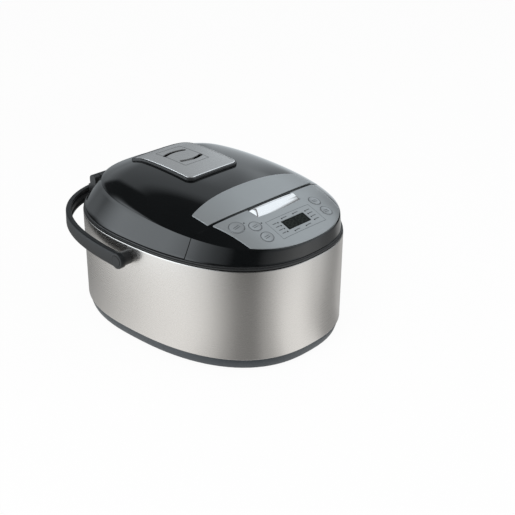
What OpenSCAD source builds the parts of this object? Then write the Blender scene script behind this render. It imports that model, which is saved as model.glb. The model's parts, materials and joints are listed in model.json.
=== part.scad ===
// Countertop electric multicooker with a hinged lid, a lift-out steam vent and a folding carry handle.
// Z is up, the front faces -Y, and the drawing is symmetric about X = 0 except for the large key.
// Inside the modules Y = 0 is the widest line of the body; placed() moves the whole part so that the
// origin is at the middle of its base.

/* [Body] */
// Width of the steel body
body_w = 275; // [262:1:340]
// Length of the body from its widest line to the front
front_len = 198; // [185:1:240]
// Length of the body from its widest line to the rear
rear_len = 165; // [158:1:200]
// Squareness of the front half of the plan, where 2 is an ellipse
front_square = 2.47; // [2.2:0.01:2.9]
// Squareness of the rear half of the plan
rear_square = 2.33; // [2.1:0.01:2.8]
// Height of the bottom edge of the steel wall
steel_bottom = 18; // [17:1:26]
// Height of the top edge of the steel wall
steel_top = 139; // [125:1:170]
// Thickness of the steel wall
steel_t = 1; // [0.8:0.1:1.6]
// Height of the feet
foot_h = 4; // [3:0.5:7]
// Radius of a foot
foot_r = 9; // [6:0.5:12]
// Wall of the plastic covers
wall = 2.5; // [2:0.1:3.5]
// How far the base cover is set in from the steel
base_inset = 5.4; // [3:0.1:9]
// Height of the black band above the steel
band_h = 5; // [4:0.5:9]

/* [Top] */
// Inset of the foot of the lid wall
lid_inset = 2.7; // [1.5:0.1:5]
// Inset of the lid's edge line at the front
crease_front = 3; // [2:0.5:8]
// Extra inset of the lid's edge line at the rear
crease_rear_more = 25; // [15:1:32]
// Rise of the lid's edge line above the band at the widest line
crease_rise = 32; // [26:1:40]
// Rise of the lid's crown above the band
crown_rise = 60.7; // [54:0.1:75]
// Distance of the crown from the rear
crown_from_rear = 108; // [90:1:120]
// Rise of the top above the band at the rear of the front housing
split_rise = 42; // [38:0.5:50]
// Distance from the front to the lid's front edge on the middle line
split_depth = 80.6; // [77:0.1:84]
// How far the lid's front edge has run back at the ends of the panel
split_sweep = 7.6; // [5:0.1:12]
// Gap between the lid and the front housing
split_gap = 0.9; // [0.8:0.1:1.5]
// Gap between the lid and the band
lid_gap = 0.6; // [0.5:0.1:1.5]

/* [Panel] */
// Distance from the side of the body to the end of the control panel
panel_margin = 46.5; // [44:0.5:55]
// Thickness of the control panel and of the lid trim
panel_t = 1; // [0.8:0.1:1.6]
// Radius of the large key
key_large_r = 9.8; // [8:0.1:10.5]
// Radius of a small key
key_r = 8.2; // [6:0.1:9]
// Travel of a key
key_travel = 0.8; // [0.5:0.1:1.2]
// Clearance round a key
key_gap = 0.35; // [0.3:0.05:0.6]
// Width of the display window
display_w = 40; // [30:1:44]
// Length of the display window, front to rear
display_l = 14.2; // [10:0.2:15]
// Half width of the release button
button_half = 38.3; // [30:0.1:39]
// Length of the release button on the middle line
button_l = 20.4; // [18:0.2:22]
// Travel of the release button
button_travel = 3; // [2:0.1:4]

/* [Pot and heater] */
// Space between the side of the body and the casing round the pot
side_space = 15.5; // [14:0.5:25]
// Space between the rear of the body and the casing
rear_space = 21; // [20:0.5:30]
// Space between the front of the body and the casing
panel_space = 98; // [95:1:120]
// Wall of the cooking pot
pot_t = 2; // [1.5:0.1:3]
// Gap between the pot and the casing
pot_gap = 7.5; // [6:0.5:12]
// Thickness of the heating plate
plate_t = 6; // [5:0.5:8]
// Travel of the pot sensor
sensor_travel = 1.5; // [1:0.1:2]

/* [Vent] */
// Width of the vent plate
vent_w = 85; // [70:1:95]
// Length of the vent plate
vent_l = 113; // [90:1:116]
// Distance of the middle of the vent from the rear
vent_from_rear = 131.5; // [126:0.5:140]
// Corner radius of the vent plate
vent_corner = 7.5; // [5:0.5:14]
// Length of a steam slot
slot_l = 34; // [24:1:40]
// Width of a steam slot
slot_w = 3.8; // [2:0.1:5]

/* [Handle] */
// Gap between the side of the body and the middle of the handle arm
bail_side_gap = 14.5; // [13:0.5:20]
// Gap between the rear of the body and the middle of the handle bar
bail_rear_gap = 16; // [15:0.5:28]
// Squareness of the handle's curve
bail_square = 2.6; // [2.5:0.1:3.4]
// Thickness of the handle bar
bail_t = 7; // [6:0.5:9]
// Height of the handle bar
bail_h = 20; // [16:0.5:24]
// Angle of the folded handle above level
bail_tilt = 2.5; // [2:0.5:10]
// Distance of the handle pivot in front of the widest line
pivot_front = 8; // [0:1:20]
// Distance of the handle pivot below the top edge of the steel
pivot_drop = 17; // [14:1:25]
// Radius of a handle pivot pin
pivot_r = 4; // [3:0.5:5]

/* [Hinge] */
// Distance of the hinge line from the rear of the body
hinge_from_rear = 6; // [4:0.5:7]
// Height of the hinge line above the band
hinge_rise = 11.5; // [11:0.5:14]
// Radius of the hinge barrel
barrel_r = 6; // [5:0.5:6.5]
// Half width of the hinge with its ears
hinge_half = 56; // [46:1:60]
// Width of an ear
ear_w = 10; // [7:0.5:12]
// Radius of the hinge pin
hinge_pin_r = 2.5; // [2:0.1:3]

/* [Hidden] */
$fn = 48;
eps = 0.01;
half_w = body_w / 2;
fit = 0.3;
pin_gap = 0.06;
band_top = steel_top + band_h;
lid_bottom = band_top + lid_gap;
split_y = -front_len + split_depth;
knee_depth = 74.7;
knee_y = -front_len + knee_depth;
crown_y = rear_len - crown_from_rear;
panel_half = half_w - panel_margin;

// The pot's casing takes the room that the width and the length leave.
casing_r = min(half_w - side_space, (rear_len - rear_space + front_len - panel_space) / 2);
pot_y = rear_len - rear_space - casing_r;
pot_open_r = casing_r - 6.5;
flange_r = casing_r - 2.5;
pot_r = casing_r - 1 - pot_gap;
plate_r = pot_r - 22;
casing_floor = 20;
element_z = 24;
plate_z = 30;
pot_z = plate_z + plate_t;
flange_z = band_top - 2;

// ---- plan outline and the surface of the top ----
function signed_pow(v, e) = sign(v) * pow(abs(v), e);
function lerp(a, b, t) = a + (b - a) * t;

// A point of the body's plan: a = 0 is the rear, 90 the right side and 180 the front.
function plan_point(a, inset) =
  let (rear = cos(a) >= 0)
  let (e = 2 / (rear ? rear_square : front_square))
  let (len = rear ? rear_len : front_len)
  [(half_w - inset) * signed_pow(sin(a), e), (len - inset) * signed_pow(cos(a), e)];

function plan(inset, n = 96) = [for (i = [0:n - 1]) plan_point(-360 * i / n, inset)];

// The edge line where the lid's wall turns into its top.
crease_climb = 4.55;
crease_sag = -1.49;
function crease_z(y) = band_top + crease_rise + crease_climb * y / 100 + crease_sag * pow(y / 100, 2);
function crease_inset(y) = crease_front + crease_rear_more * (y + front_len) / (front_len + rear_len);
function crease_xy(a, t) =
  let (p = plan_point(a, 0))
  let (c = crease_inset(p.y) + t)
  [p.x * (1 - c / half_w), p.y * (1 - c / (p.y >= 0 ? rear_len : front_len))];

crease_table = [for (i = [90:-1:0]) crease_xy(2 * i, 0)];
crease_width = [for (p = crease_table) [p.y, p.x]];
function crease_x(y) = max(0.5, lookup(y, crease_width));

// The middle line of the top: two smooth cubic stretches in front of the crown and one behind it.
function cubic(y, a, b) =
  let (h = b[0] - a[0])
  let (t = (y - a[0]) / h)
  a[1] * (1 - 3 * t * t + 2 * t * t * t) + h * a[2] * (t - 2 * t * t + t * t * t)
  + b[1] * (3 * t * t - 2 * t * t * t) + h * b[2] * (t * t * t - t * t);
crease_front_y = crease_xy(180, 0).y;
crease_rear_y = crease_xy(0, 0).y;
spine_front = [crease_front_y, crease_z(crease_front_y), 0.40];
spine_knee = [knee_y, band_top + split_rise, 0.15];
spine_crown = [crown_y, band_top + crown_rise, 0];
spine_rear = [crease_rear_y, crease_z(crease_rear_y), -0.34];
function spine(y) =
  y < knee_y ? cubic(y, spine_front, spine_knee)
  : y < crown_y ? cubic(y, spine_knee, spine_crown)
  : cubic(min(y, crease_rear_y), spine_crown, spine_rear);

// Height of the top at any place: flat across the middle and turning down towards the edge line.
top_flat = 3.33;
top_turn = 0.76;
function top_z(x, y) =
  let (u = 1 - pow(min(1, abs(x) / crease_x(y)), top_flat))
  lerp(crease_z(y), spine(y), pow(max(0, u), top_turn));
function slope_x(x, y) = top_z(x + 0.5, y) - top_z(x - 0.5, y);
function slope_y(x, y) = top_z(x, y + 0.5) - top_z(x, y - 0.5);

// The lid's front edge in plan, and the groove the panel and the trim leave along it.
split_power = 3.1;
function split_at(x) = split_y + split_sweep * pow(abs(x) / panel_half, split_power);
groove_front = 2.2;
groove_rear = 2.3;

// A point of the wall between the band (w = 0) and the edge line (w = 1), set in by t.
function wall_xy(a, w, t) = lerp(plan_point(a, lid_inset + t), crease_xy(a, t), w);
function corner_angle(w, t, shift, lo = 91, hi = 179, n = 22) =
  let (m = (lo + hi) / 2)
  let (p = wall_xy(m, w, t))
  n == 0 ? m
  : p.y > split_at(p.x) + shift ? corner_angle(w, t, shift, m, hi, n - 1)
  : corner_angle(w, t, shift, lo, m, n - 1);

side_steps = 44;
arc_steps = 12;
function lid_loop(w, t, shift) =
  let (ac = corner_angle(w, t, shift))
  let (xc = wall_xy(ac, w, t).x)
  concat(
    [for (i = [0:side_steps]) wall_xy(ac * (1 - 2 * i / side_steps), w, t)],
    [for (j = [1:arc_steps - 1]) let (x = xc * (2 * j / arc_steps - 1)) [x, split_at(x) + shift]]
  );
function fascia_loop(w, t, shift) =
  let (ac = corner_angle(w, t, -shift))
  let (xc = wall_xy(ac, w, t).x)
  concat(
    [for (i = [0:side_steps]) wall_xy(-ac - (360 - 2 * ac) * i / side_steps, w, t)],
    [for (j = [1:arc_steps - 1]) let (x = xc * (1 - 2 * j / arc_steps)) [x, split_at(x) - shift]]
  );
function shrink(loop, c, r) = [for (p = loop) [lerp(c.x, p.x, r), lerp(c.y, p.y, r)]];
function sink(y, fall) = fall * pow(max(0, (y - vent_y) / vent_l + 0.5), 2);
function raise(loop, dz, fall = 0) = [for (p = loop) [p.x, p.y, top_z(p.x, p.y) + dz - sink(p.y, fall)]];
function level(loop, z) = [for (p = loop) [p.x, p.y, z]];
function pole(c, dz, fall = 0) = [c.x, c.y, top_z(c.x, c.y) + dz - sink(c.y, fall)];

// A closed skin from one pole through a list of rings to another pole.
module pole_loft(pole_a, rings, pole_b) {
  n = len(rings[0]);
  m = len(rings);
  points = concat([pole_a], [for (r = rings) each r], [pole_b]);
  function at(k, i) = 1 + k * n + i % n;
  last = len(points) - 1;
  faces = concat(
    [for (i = [0:n - 1]) [0, at(0, i + 1), at(0, i)]],
    [for (k = [0:m - 2]) for (i = [0:n - 1]) [at(k, i), at(k, i + 1), at(k + 1, i + 1)]],
    [for (k = [0:m - 2]) for (i = [0:n - 1]) [at(k, i), at(k + 1, i + 1), at(k + 1, i)]],
    [for (i = [0:n - 1]) [at(m - 1, i), at(m - 1, i + 1), last]]
  );
  polyhedron(points = points, faces = faces, convexity = 8);
}

// An open-bottomed shell under the top, from an outer and an inner loop pair.
shell_radii = [0.13, 0.26, 0.39, 0.51, 0.62, 0.72, 0.81, 0.885, 0.945, 0.98];
module top_shell(outer_foot, outer_edge, inner_foot, inner_edge, c, foot_z) {
  outer = concat(
    [for (r = shell_radii) raise(shrink(outer_edge, c, r), 0)],
    [raise(outer_edge, 0), level(outer_foot, foot_z)]
  );
  inner_down = concat(
    [level(inner_foot, foot_z), raise(inner_edge, -wall)],
    [for (i = [len(shell_radii) - 1:-1:0]) raise(shrink(inner_edge, c, shell_radii[i]), -wall)]
  );
  pole_loft(pole(c, 0), concat(outer, inner_down), pole(c, -wall));
}

// A plate that follows the top, between the heights lo and hi; the vent's plates fall towards the rear.
plate_radii = [0.22, 0.44, 0.63, 0.79, 0.91];
plate_lift = 0.5;
module top_plate(loop, c, lo, hi, fall_lo = 0, fall_hi = 0) {
  up = concat([for (r = plate_radii) raise(shrink(loop, c, r), hi, fall_hi)], [raise(loop, hi, fall_hi)]);
  down = concat(
    [raise(loop, lo, fall_lo)],
    [for (i = [len(plate_radii) - 1:-1:0]) raise(shrink(loop, c, plate_radii[i]), lo, fall_lo)]
  );
  pole_loft(pole(c, hi, fall_hi), concat(up, down), pole(c, lo, fall_lo));
}

module on_top(x, y) {
  translate([x, y, top_z(x, y)])
    rotate([atan(slope_y(x, y)), -atan(slope_x(x, y)), 0])
      children();
}

module prism(inset, z0, z1) {
  translate([0, 0, z0]) linear_extrude(z1 - z0) polygon(plan(inset));
}

module ring(inset_out, inset_in, z0, z1) {
  translate([0, 0, z0]) linear_extrude(z1 - z0) difference() {
    polygon(plan(inset_out));
    polygon(plan(inset_in));
  }
}

module post(x, y, r, z0, z1) {
  translate([x, y, z0]) cylinder(r = r, h = z1 - z0);
}

module block(x0, x1, y0, y1, z0, z1) {
  translate([x0, y0, z0]) cube([x1 - x0, y1 - y0, z1 - z0]);
}

module along_x(y, z, r, x0, x1) {
  translate([x0, y, z]) rotate([0, 90, 0]) cylinder(r = r, h = x1 - x0);
}

module along_y(x, z, r, y0, y1) {
  translate([x, y0, z]) rotate([-90, 0, 0]) cylinder(r = r, h = y1 - y0);
}

module mirrored() {
  children();
  mirror([1, 0, 0]) children();
}

// A round wire wound as a helix of the given mean radius, along Z.
module coil(r, wire, h, turns) {
  sides = 8;
  steps = turns * 14;
  function ring_at(k) =
    let (a = 360 * turns * k / steps)
    [for (j = [0:sides - 1])
      let (q = 360 * j / sides)
      [(r + wire * cos(q)) * cos(a), (r + wire * cos(q)) * sin(a), wire + (h - 2 * wire) * k / steps + wire * sin(q)]];
  first = ring_at(0);
  points = [for (k = [0:steps]) each ring_at(k)];
  function at(k, j) = k * sides + j % sides;
  faces = concat(
    [[for (j = [sides - 1:-1:0]) j]],
    [for (k = [0:steps - 1]) for (j = [0:sides - 1]) [at(k, j), at(k + 1, j + 1), at(k + 1, j)]],
    [for (k = [0:steps - 1]) for (j = [0:sides - 1]) [at(k, j), at(k, j + 1), at(k + 1, j + 1)]],
    [[for (j = [0:sides - 1]) at(steps, j)]]
  );
  polyhedron(points = points, faces = faces, convexity = 10);
}

// ---- base ----
column_inset = 12;
column_r = 4;
screw_r = 1.6;
screw_hole_r = 1.75;
columns = [plan_point(50, column_inset), plan_point(-50, column_inset),
  plan_point(124, column_inset + 3), plan_point(-124, column_inset + 3)];
feet = [plan_point(42, 36), plan_point(-42, 36), plan_point(136, 40), plan_point(-136, 40)];
base_floor = foot_h + wall;
head_r = 3.4;
head_z = foot_h + 0.4;
head_h = 1.6;
screw_len = 26;
board_z = base_floor + 5;
board_front = -front_len + 30;
board_w = 120;
board_l = 52;
board_t = 1.6;
board_posts = [for (sx = [-1, 1]) for (sy = [0, 1]) [sx * (board_w / 2 - 6), board_front + 6 + sy * (board_l - 12)]];

module base_cover() color([0.22, 0.25, 0.28]) difference() {
  union() {
    prism(base_inset, foot_h, base_floor);
    ring(base_inset, base_inset + wall, foot_h, steel_bottom);
    ring(steel_t + fit + 0.4, base_inset + wall, steel_bottom - 3, steel_bottom);
    for (p = board_posts) post(p.x, p.y, 3.5, base_floor - 1, board_z);
    for (p = columns) post(p.x, p.y, 6, base_floor - 1, casing_floor - 4);
  }
  for (p = feet) post(p.x, p.y, foot_r + fit, foot_h - 1, foot_h + 1);
  for (p = columns) {
    post(p.x, p.y, 2.1, foot_h - 1, casing_floor);
    post(p.x, p.y, head_r + 0.5, foot_h - 1, head_z + head_h);
  }
  for (i = [-4:4]) block(i * 11 - 2, i * 11 + 2, pot_y - 28, pot_y + 28, foot_h - 1, base_floor + 1);
}

module rubber_feet() color([0.1, 0.1, 0.1]) for (p = feet) post(p.x, p.y, foot_r, 0, foot_h + 1);

module base_screws() color([0.7, 0.7, 0.72]) for (p = columns) {
  post(p.x, p.y, head_r, head_z, head_z + head_h);
  post(p.x, p.y, screw_r, head_z + head_h - eps, head_z + head_h + screw_len);
}

// ---- steel wall and band ----
pivot_y = -pivot_front;
pivot_z = steel_top - pivot_drop;
boss_r = 9;
hinge_y = rear_len - hinge_from_rear;
hinge_z = band_top + hinge_rise;
bracket_out = 3.5;
bracket_y = rear_len + bracket_out;
bracket_z = steel_top - 27;
hinge_screw_x = 38;
hinge_screw_z = bracket_z + 9;
inlet_z = 42;
inlet_w = 30;
inlet_h = 22;

module steel_shell() color([0.78, 0.77, 0.75]) difference() {
  union() {
    ring(0, steel_t, steel_bottom, steel_top);
    ring(0.5, base_inset + wall, steel_bottom, steel_bottom + steel_t);
  }
  along_x(pivot_y, pivot_z, pivot_r + 0.5, -half_w - 5, half_w + 5);
  mirrored() along_y(hinge_screw_x, hinge_screw_z, screw_hole_r + 0.3, 0, rear_len + 5);
  block(-inlet_w / 2 - fit, inlet_w / 2 + fit, 0, rear_len + 5, inlet_z - inlet_h / 2 - fit, inlet_z + inlet_h / 2 + fit);
  mirrored() along_y(inlet_screw_x, inlet_z, 1.5 + fit, 0, rear_len + 5);
}

latch_slot = 12;
module rim_collar() color([0.13, 0.13, 0.14]) difference() {
  union() {
    prism(0.8, steel_top, band_top);
    ring(steel_t + fit, steel_t + fit + wall, steel_top - 9, steel_top + 1);
    for (p = columns) post(p.x, p.y, column_r, casing_floor - 4, steel_top + 1);
  }
  translate([0, pot_y, 0]) post(0, 0, pot_open_r, steel_top - 1, band_top + 1);
  translate([0, pot_y, 0]) post(0, 0, flange_r + 0.5, flange_z, band_top + 1);
  for (p = columns) post(p.x, p.y, screw_hole_r, casing_floor - 5, casing_floor + 24);
  block(-60, 60, -front_len + 22, -front_len + 88, steel_top - 1, band_top + 1);
}

// ---- front housing ----
fascia_c = [0, -front_len + 45];
button_c = [0, split_y - button_l / 2];
key_side_x = panel_half - 37;
key_large_x = panel_half - 17.6;
display_y = -front_len + 34;
frame_half = key_side_x - key_r - 7;
frame_l = 30;
key_depth = [63.4, 51.5, 32];
keys = [
  [-key_large_x, -front_len + key_depth[0], key_large_r],
  [-key_side_x, -front_len + key_depth[1], key_r],
  [-key_side_x, -front_len + key_depth[2], key_r],
  [key_side_x, -front_len + key_depth[1], key_r],
  [key_side_x, -front_len + key_depth[2], key_r]
];
lamp_r = 1;
lamp_step = 5.35;
lamp_side_x = display_w / 2 + 4.8;
lamp_row = [-14.4, 6];
lamps = concat(
  [for (sx = [-1, 1]) for (i = [0:3]) [sx * lamp_side_x, display_y + lamp_step * (1.5 - i)]],
  [for (x = lamp_row) for (sy = [-1, 1]) [x, display_y + sy * (display_l / 2 + 4)]],
  [for (i = [0, 1]) [keys[i].x + keys[i][2] + key_gap + 1.9, keys[i].y]]
);
panel_side_dy = 51;
panel_taper = 8.7;
panel_front_gap = 1.2;

// The panel's outline: the crease line at the front, straight sides, and the lid's edge at the rear.
function panel_front(x) =
  let (edge = lookup(abs(x), [for (i = [90:-1:45]) let (p = crease_xy(2 * i, panel_front_gap)) [p.x, p.y]]))
  let (side = split_at(panel_half) - split_gap - 2 - (panel_half - abs(x)) * panel_side_dy / panel_taper)
  max(edge, side);
function panel_loop(n = 40) = concat(
  [for (i = [0:n]) let (x = -panel_half * cos(180 * i / n)) [x, panel_front(x)]],
  [for (i = [0:n / 2]) let (x = panel_half * (1 - 4 * i / n)) [x, split_at(x) - groove_front]]
);
panel_c = [0, display_y];
function button_front(x) = split_y - split_gap - button_l + 2.4 * pow(x / button_half, 2);
function button_loop(grow, n = 12) = concat(
  [for (i = [0:n]) let (x = (button_half + grow) * (2 * i / n - 1)) [x, button_front(x) - grow]],
  [for (i = [0:n]) let (x = (button_half + grow) * (1 - 2 * i / n)) [x, split_at(x) - groove_front + grow]]
);

module key_holes(r_more) {
  for (k = keys) on_top(k.x, k.y) translate([0, 0, -8]) cylinder(r = k[2] + r_more, h = 14);
}

module front_fascia() color([0.05, 0.05, 0.055]) difference() {
  top_shell(
    fascia_loop(0, 0, split_gap / 2), fascia_loop(1, 0, split_gap / 2),
    fascia_loop(0, wall, split_gap / 2 + wall), fascia_loop(1, wall, split_gap / 2 + wall),
    fascia_c, band_top
  );
  key_holes(key_gap);
  translate([0, 0, band_top + 22]) linear_extrude(40) polygon(button_loop(0.6));
  block(-frame_half + 2, frame_half - 2, display_y - frame_l / 2 + 1, display_y + frame_l / 2 - 3, band_top + 8, band_top + 60);
  block(-latch_slot, latch_slot, split_y - 8, split_y + 1, band_top + 8, hook_z + 7);
  lamp_rods(0.3, 2);
}

module control_panel() color([0.62, 0.64, 0.66]) difference() {
  top_plate(panel_loop(), panel_c, plate_lift, plate_lift + panel_t);
  key_holes(key_gap);
  translate([0, 0, band_top + 10]) linear_extrude(60) polygon(button_loop(0.6));
  block(-display_w / 2 - fit, display_w / 2 + fit, display_y - display_l / 2 - fit, display_y + display_l / 2 + fit,
    band_top + 10, band_top + 60);
  lamp_rods(0.2, 2);
}

display_loop = [for (i = [0:3]) each [for (j = [0:5])
  let (c = [[-1, -1], [1, -1], [1, 1], [-1, 1], [-1, -1]])
  lerp(
    [c[i].x * display_w / 2, display_y + c[i].y * display_l / 2],
    [c[i + 1].x * display_w / 2, display_y + c[i + 1].y * display_l / 2],
    j / 6
  )]];
module display_window() color([0.03, 0.04, 0.04]) top_plate(display_loop, panel_c, -0.6, plate_lift + panel_t - 0.1);

// The control board lies parallel to the panel, below it.
board_depth = 17;
board_tilt = atan(slope_y(0, display_y));
module behind_panel() {
  translate([0, display_y, top_z(0, display_y)]) rotate([board_tilt, 0, 0]) children();
}
module control_board() color([0.1, 0.35, 0.2]) behind_panel() union() {
  block(-key_side_x - 9, key_side_x + 9, -10, 11, -board_depth - 1.6, -board_depth);
  mirrored() block(cheek_x + 7, key_side_x + 9, 10, 26, -board_depth - 1.6, -board_depth);
  block(-key_side_x - 8, -key_side_x + 6, 20, 35.5, -board_depth - 1.6, -board_depth);
  block(-key_large_x - 8, -key_side_x - 7, 20, 39, -board_depth - 1.6, -board_depth);
}

module display_module() color([0.15, 0.15, 0.16]) behind_panel()
  block(-display_w / 2 - 2, display_w / 2 + 2, -display_l / 2 - 2, display_l / 2 + 2, -board_depth, -2.6);

function to_board(x, y) =
  let (dy = y - display_y)
  let (dz = top_z(x, y) - top_z(0, display_y))
  [x, dy * cos(board_tilt) + dz * sin(board_tilt), dz * cos(board_tilt) - dy * sin(board_tilt)];
module lamp_rods(grow, more) {
  behind_panel() for (p = lamps) {
    b = to_board(p.x, p.y);
    translate([b.x, b.y, -board_depth]) cylinder(r = lamp_r + grow, h = b.z + board_depth + plate_lift + panel_t + 0.1 + more, $fn = 16);
  }
}
module indicator_lamps() color([0.75, 0.2, 0.12]) lamp_rods(0, 0);

switch_h = 3;
stem_play = 0.4;
function stem_len(k) = to_board(k.x, k.y).z + board_depth - switch_h - key_travel - stem_play;
module key_switches() color([0.2, 0.2, 0.2]) behind_panel() for (k = keys) {
  b = to_board(k.x, k.y);
  translate([b.x - 3, b.y - 3, -board_depth]) cube([6, 6, switch_h]);
}

cap_top = plate_lift + panel_t + 0.3;
cap_t = 2.6;
module key(i) color([0.66, 0.68, 0.7]) on_top(keys[i].x, keys[i].y) {
  translate([0, 0, cap_top - cap_t - 0.6]) cylinder(r = keys[i][2], h = cap_t + 0.6 - 0.5);
  translate([0, 0, cap_top - 0.5 - eps]) cylinder(r1 = keys[i][2], r2 = keys[i][2] - 0.5, h = 0.5 + eps);
  translate([0, 0, -stem_len(keys[i])]) cylinder(r = 2, h = stem_len(keys[i]) - 1);
}
module key_large() { key(0); }
module key_left_upper() { key(1); }
module key_left_lower() { key(2); }
module key_right_upper() { key(3); }
module key_right_lower() { key(4); }

// ---- release button and latch ----
latch_y = split_y - 9;
latch_z = band_top + 16;
latch_pin_r = 2;
hook_z = latch_z + 12;
hook_t = 3;
hook_reach = 5.9;
push_y = latch_y - 10.5;
cheek_x = 11;
cheek_t = 2.5;
latch_floor = steel_top;
spring_wire = 0.6;
button_rise = 5;
button_step = 3;

module release_button() color([0.85, 0.86, 0.88]) union() {
  top_plate(button_loop(0), button_c, -3, button_rise - 2);
  top_plate(button_loop(-button_step), button_c, button_rise - 2.1, button_rise);
  mirrored() block(7, 10, button_c.y - 6.5, button_c.y - 3, latch_z + 8, top_z(10, button_c.y - 6) - 1);
  mirrored() block(7, 10, push_y - 1.5, button_c.y - 3, latch_z + 8, latch_z + 12);
  block(-10, 10, push_y - 1.5, push_y + 1.5, latch_z + 8, latch_z + 12);
  block(-4, 4, push_y - 1.5, push_y + 1.5, latch_z + 0.4, latch_z + 9);
}

module latch_hook() color([0.25, 0.25, 0.27]) difference() {
  union() {
    along_x(latch_y, latch_z, 4.5, -6.5, 6.5);
    block(-5, 5, latch_y - 2, latch_y + 2, latch_z, hook_z + hook_t);
    block(-5, 5, latch_y - 13, latch_y, latch_z - 3, latch_z);
    block(-5, 5, latch_y - 2, split_y + hook_reach - fit, hook_z, hook_z + hook_t);
  }
  along_x(latch_y, latch_z, latch_pin_r + pin_gap, -8, 8);
}

// The steel frame of the latch with its pin: two cheeks on a floor plate under the band.
module latch_pin() color([0.7, 0.7, 0.72]) union() {
  along_x(latch_y, latch_z, latch_pin_r, -cheek_x - cheek_t - 1, cheek_x + cheek_t + 1);
  mirrored() block(cheek_x, cheek_x + cheek_t, latch_y - 5, latch_y + 5, latch_floor - 1, latch_z + 5);
  block(-cheek_x - cheek_t, cheek_x + cheek_t, latch_y - 5, latch_y + 21, latch_floor - 2, latch_floor);
}

module latch_spring() color([0.75, 0.75, 0.78])
  translate([7, latch_y, latch_z]) rotate([0, 90, 0]) coil(2.9, 0.4, 3.6, 2);

// ---- electronics ----
module power_board() color([0.55, 0.42, 0.2])
  block(-board_w / 2, board_w / 2, board_front, board_front + board_l, board_z, board_z + board_t);

module power_board_parts() color([0.2, 0.3, 0.55]) {
  top = board_z + board_t;
  block(-52, -24, board_front + 10, board_front + 42, top, top + 26);
  block(-16, 4, board_front + 22, board_front + 38, top, top + 16);
  block(30, 54, board_front + 14, board_front + 22, top, top + 12);
  post(18, board_front + 32, 8, top, top + 22);
  post(42, board_front + 38, 6, top, top + 18);
  block(-12, 12, board_front + 6, board_front + 12, top, top + 7);
}

// ---- heater and pot ----
module inner_casing() color([0.7, 0.72, 0.74]) translate([0, pot_y, 0]) difference() {
  union() {
    difference() {
      post(0, 0, casing_r, casing_floor, steel_top, $fn = 96);
      post(0, 0, casing_r - 1, casing_floor + 1, steel_top + 1, $fn = 96);
    }
  }
  post(0, 0, 4.5, casing_floor - 1, casing_floor + 2);
  for (a = [0:45:315]) rotate(a) post(casing_r - 18, 0, 5, casing_floor - 1, casing_floor + 2);
}

support_r = plate_r - 10;
module heater_supports() color([0.8, 0.8, 0.8]) translate([0, pot_y, 0])
  for (a = [30, 150, 270]) rotate(a) post(support_r, 0, 4, casing_floor + 1, plate_z);

element_r = plate_r - 27;
module heating_element() color([0.45, 0.45, 0.47]) translate([0, pot_y, 0]) union() {
  rotate([0, 0, 105]) rotate_extrude(angle = 330, $fn = 72) union() {
    translate([element_r, element_z + 2.5]) circle(r = 3.5, $fn = 24);
    translate([element_r - 3, element_z + 3]) square([6, plate_z - element_z - 3]);
  }
  for (a = [105, 75]) rotate(a) post(element_r, 0, 2.2, casing_floor + 2, element_z + 3);
}

module heating_plate() color([0.8, 0.8, 0.82]) translate([0, pot_y, 0]) difference() {
  post(0, 0, plate_r, plate_z, pot_z, $fn = 96);
  post(0, 0, 17, plate_z - 1, pot_z + 1);
}

module thermal_fuse() color([0.9, 0.9, 0.88]) translate([element_r - 22, pot_y, plate_z - 2.6]) union() {
  translate([-8, 0, 0]) rotate([0, 90, 0]) cylinder(r = 2.3, h = 16);
  block(-4, 4, -5, 5, 1.6, 2.6);
}

sensor_r = 14;
module pot_sensor() color([0.75, 0.75, 0.76]) translate([0, pot_y, 0]) union() {
  post(0, 0, sensor_r, pot_z - 3.3, pot_z - fit);
  post(0, 0, sensor_r - 4, plate_z - 3, pot_z - 3);
  post(0, 0, 3.5, casing_floor - 1, plate_z - 2);
}

module sensor_spring() color([0.75, 0.75, 0.78])
  translate([0, pot_y, casing_floor + 1.1]) coil(6.2, spring_wire, plate_z - 4.2 - casing_floor, 3);

module inner_pot() color([0.3, 0.3, 0.32]) translate([0, pot_y, 0]) rotate_extrude($fn = 96) difference() {
  union() {
    translate([0, pot_z]) square([pot_r - 14, 20]);
    translate([0, pot_z + 14]) square([pot_r, flange_z + 2 - pot_z - 14]);
    translate([pot_r - 14, pot_z + 14]) circle(r = 14);
    translate([0, flange_z + fit]) square([flange_r, 2 - fit]);
  }
  translate([0, pot_z + pot_t]) square([pot_r - 14, 20]);
  translate([0, pot_z + 14]) square([pot_r - pot_t, band_top]);
  translate([pot_r - 14, pot_z + 14]) circle(r = 14 - pot_t);
  translate([-50, 0]) square([50, 300]);
}

// ---- power inlet ----
inlet_depth = 19;
inlet_screw_x = 20;
module power_inlet() color([0.08, 0.08, 0.08]) difference() {
  union() {
    block(-inlet_w / 2, inlet_w / 2, rear_len - inlet_depth, rear_len + 2, inlet_z - inlet_h / 2, inlet_z + inlet_h / 2);
    block(-25, 25, rear_len + 0.2, rear_len + 3.2, inlet_z - inlet_h / 2 - 2, inlet_z + inlet_h / 2 + 2);
  }
  block(-12.4, 12.4, rear_len - inlet_depth + 3, rear_len + 4, inlet_z - 8.4, inlet_z + 8.4);
  mirrored() along_y(inlet_screw_x, inlet_z, 1.7, rear_len - 30, rear_len + 10);
  for (p = pin_places) block(p.x - 1.1, p.x + 1.1, rear_len - 30, rear_len - 10, inlet_z + p.y - 2.1, inlet_z + p.y + 2.1);
}
pin_places = [[-7, -1.5], [7, -1.5], [0, 2.5]];
module inlet_pins() color([0.8, 0.7, 0.4]) for (p = pin_places)
  block(p.x - 1, p.x + 1, rear_len - inlet_depth - 1, rear_len - 2, inlet_z + p.y - 2, inlet_z + p.y + 2);
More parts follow.
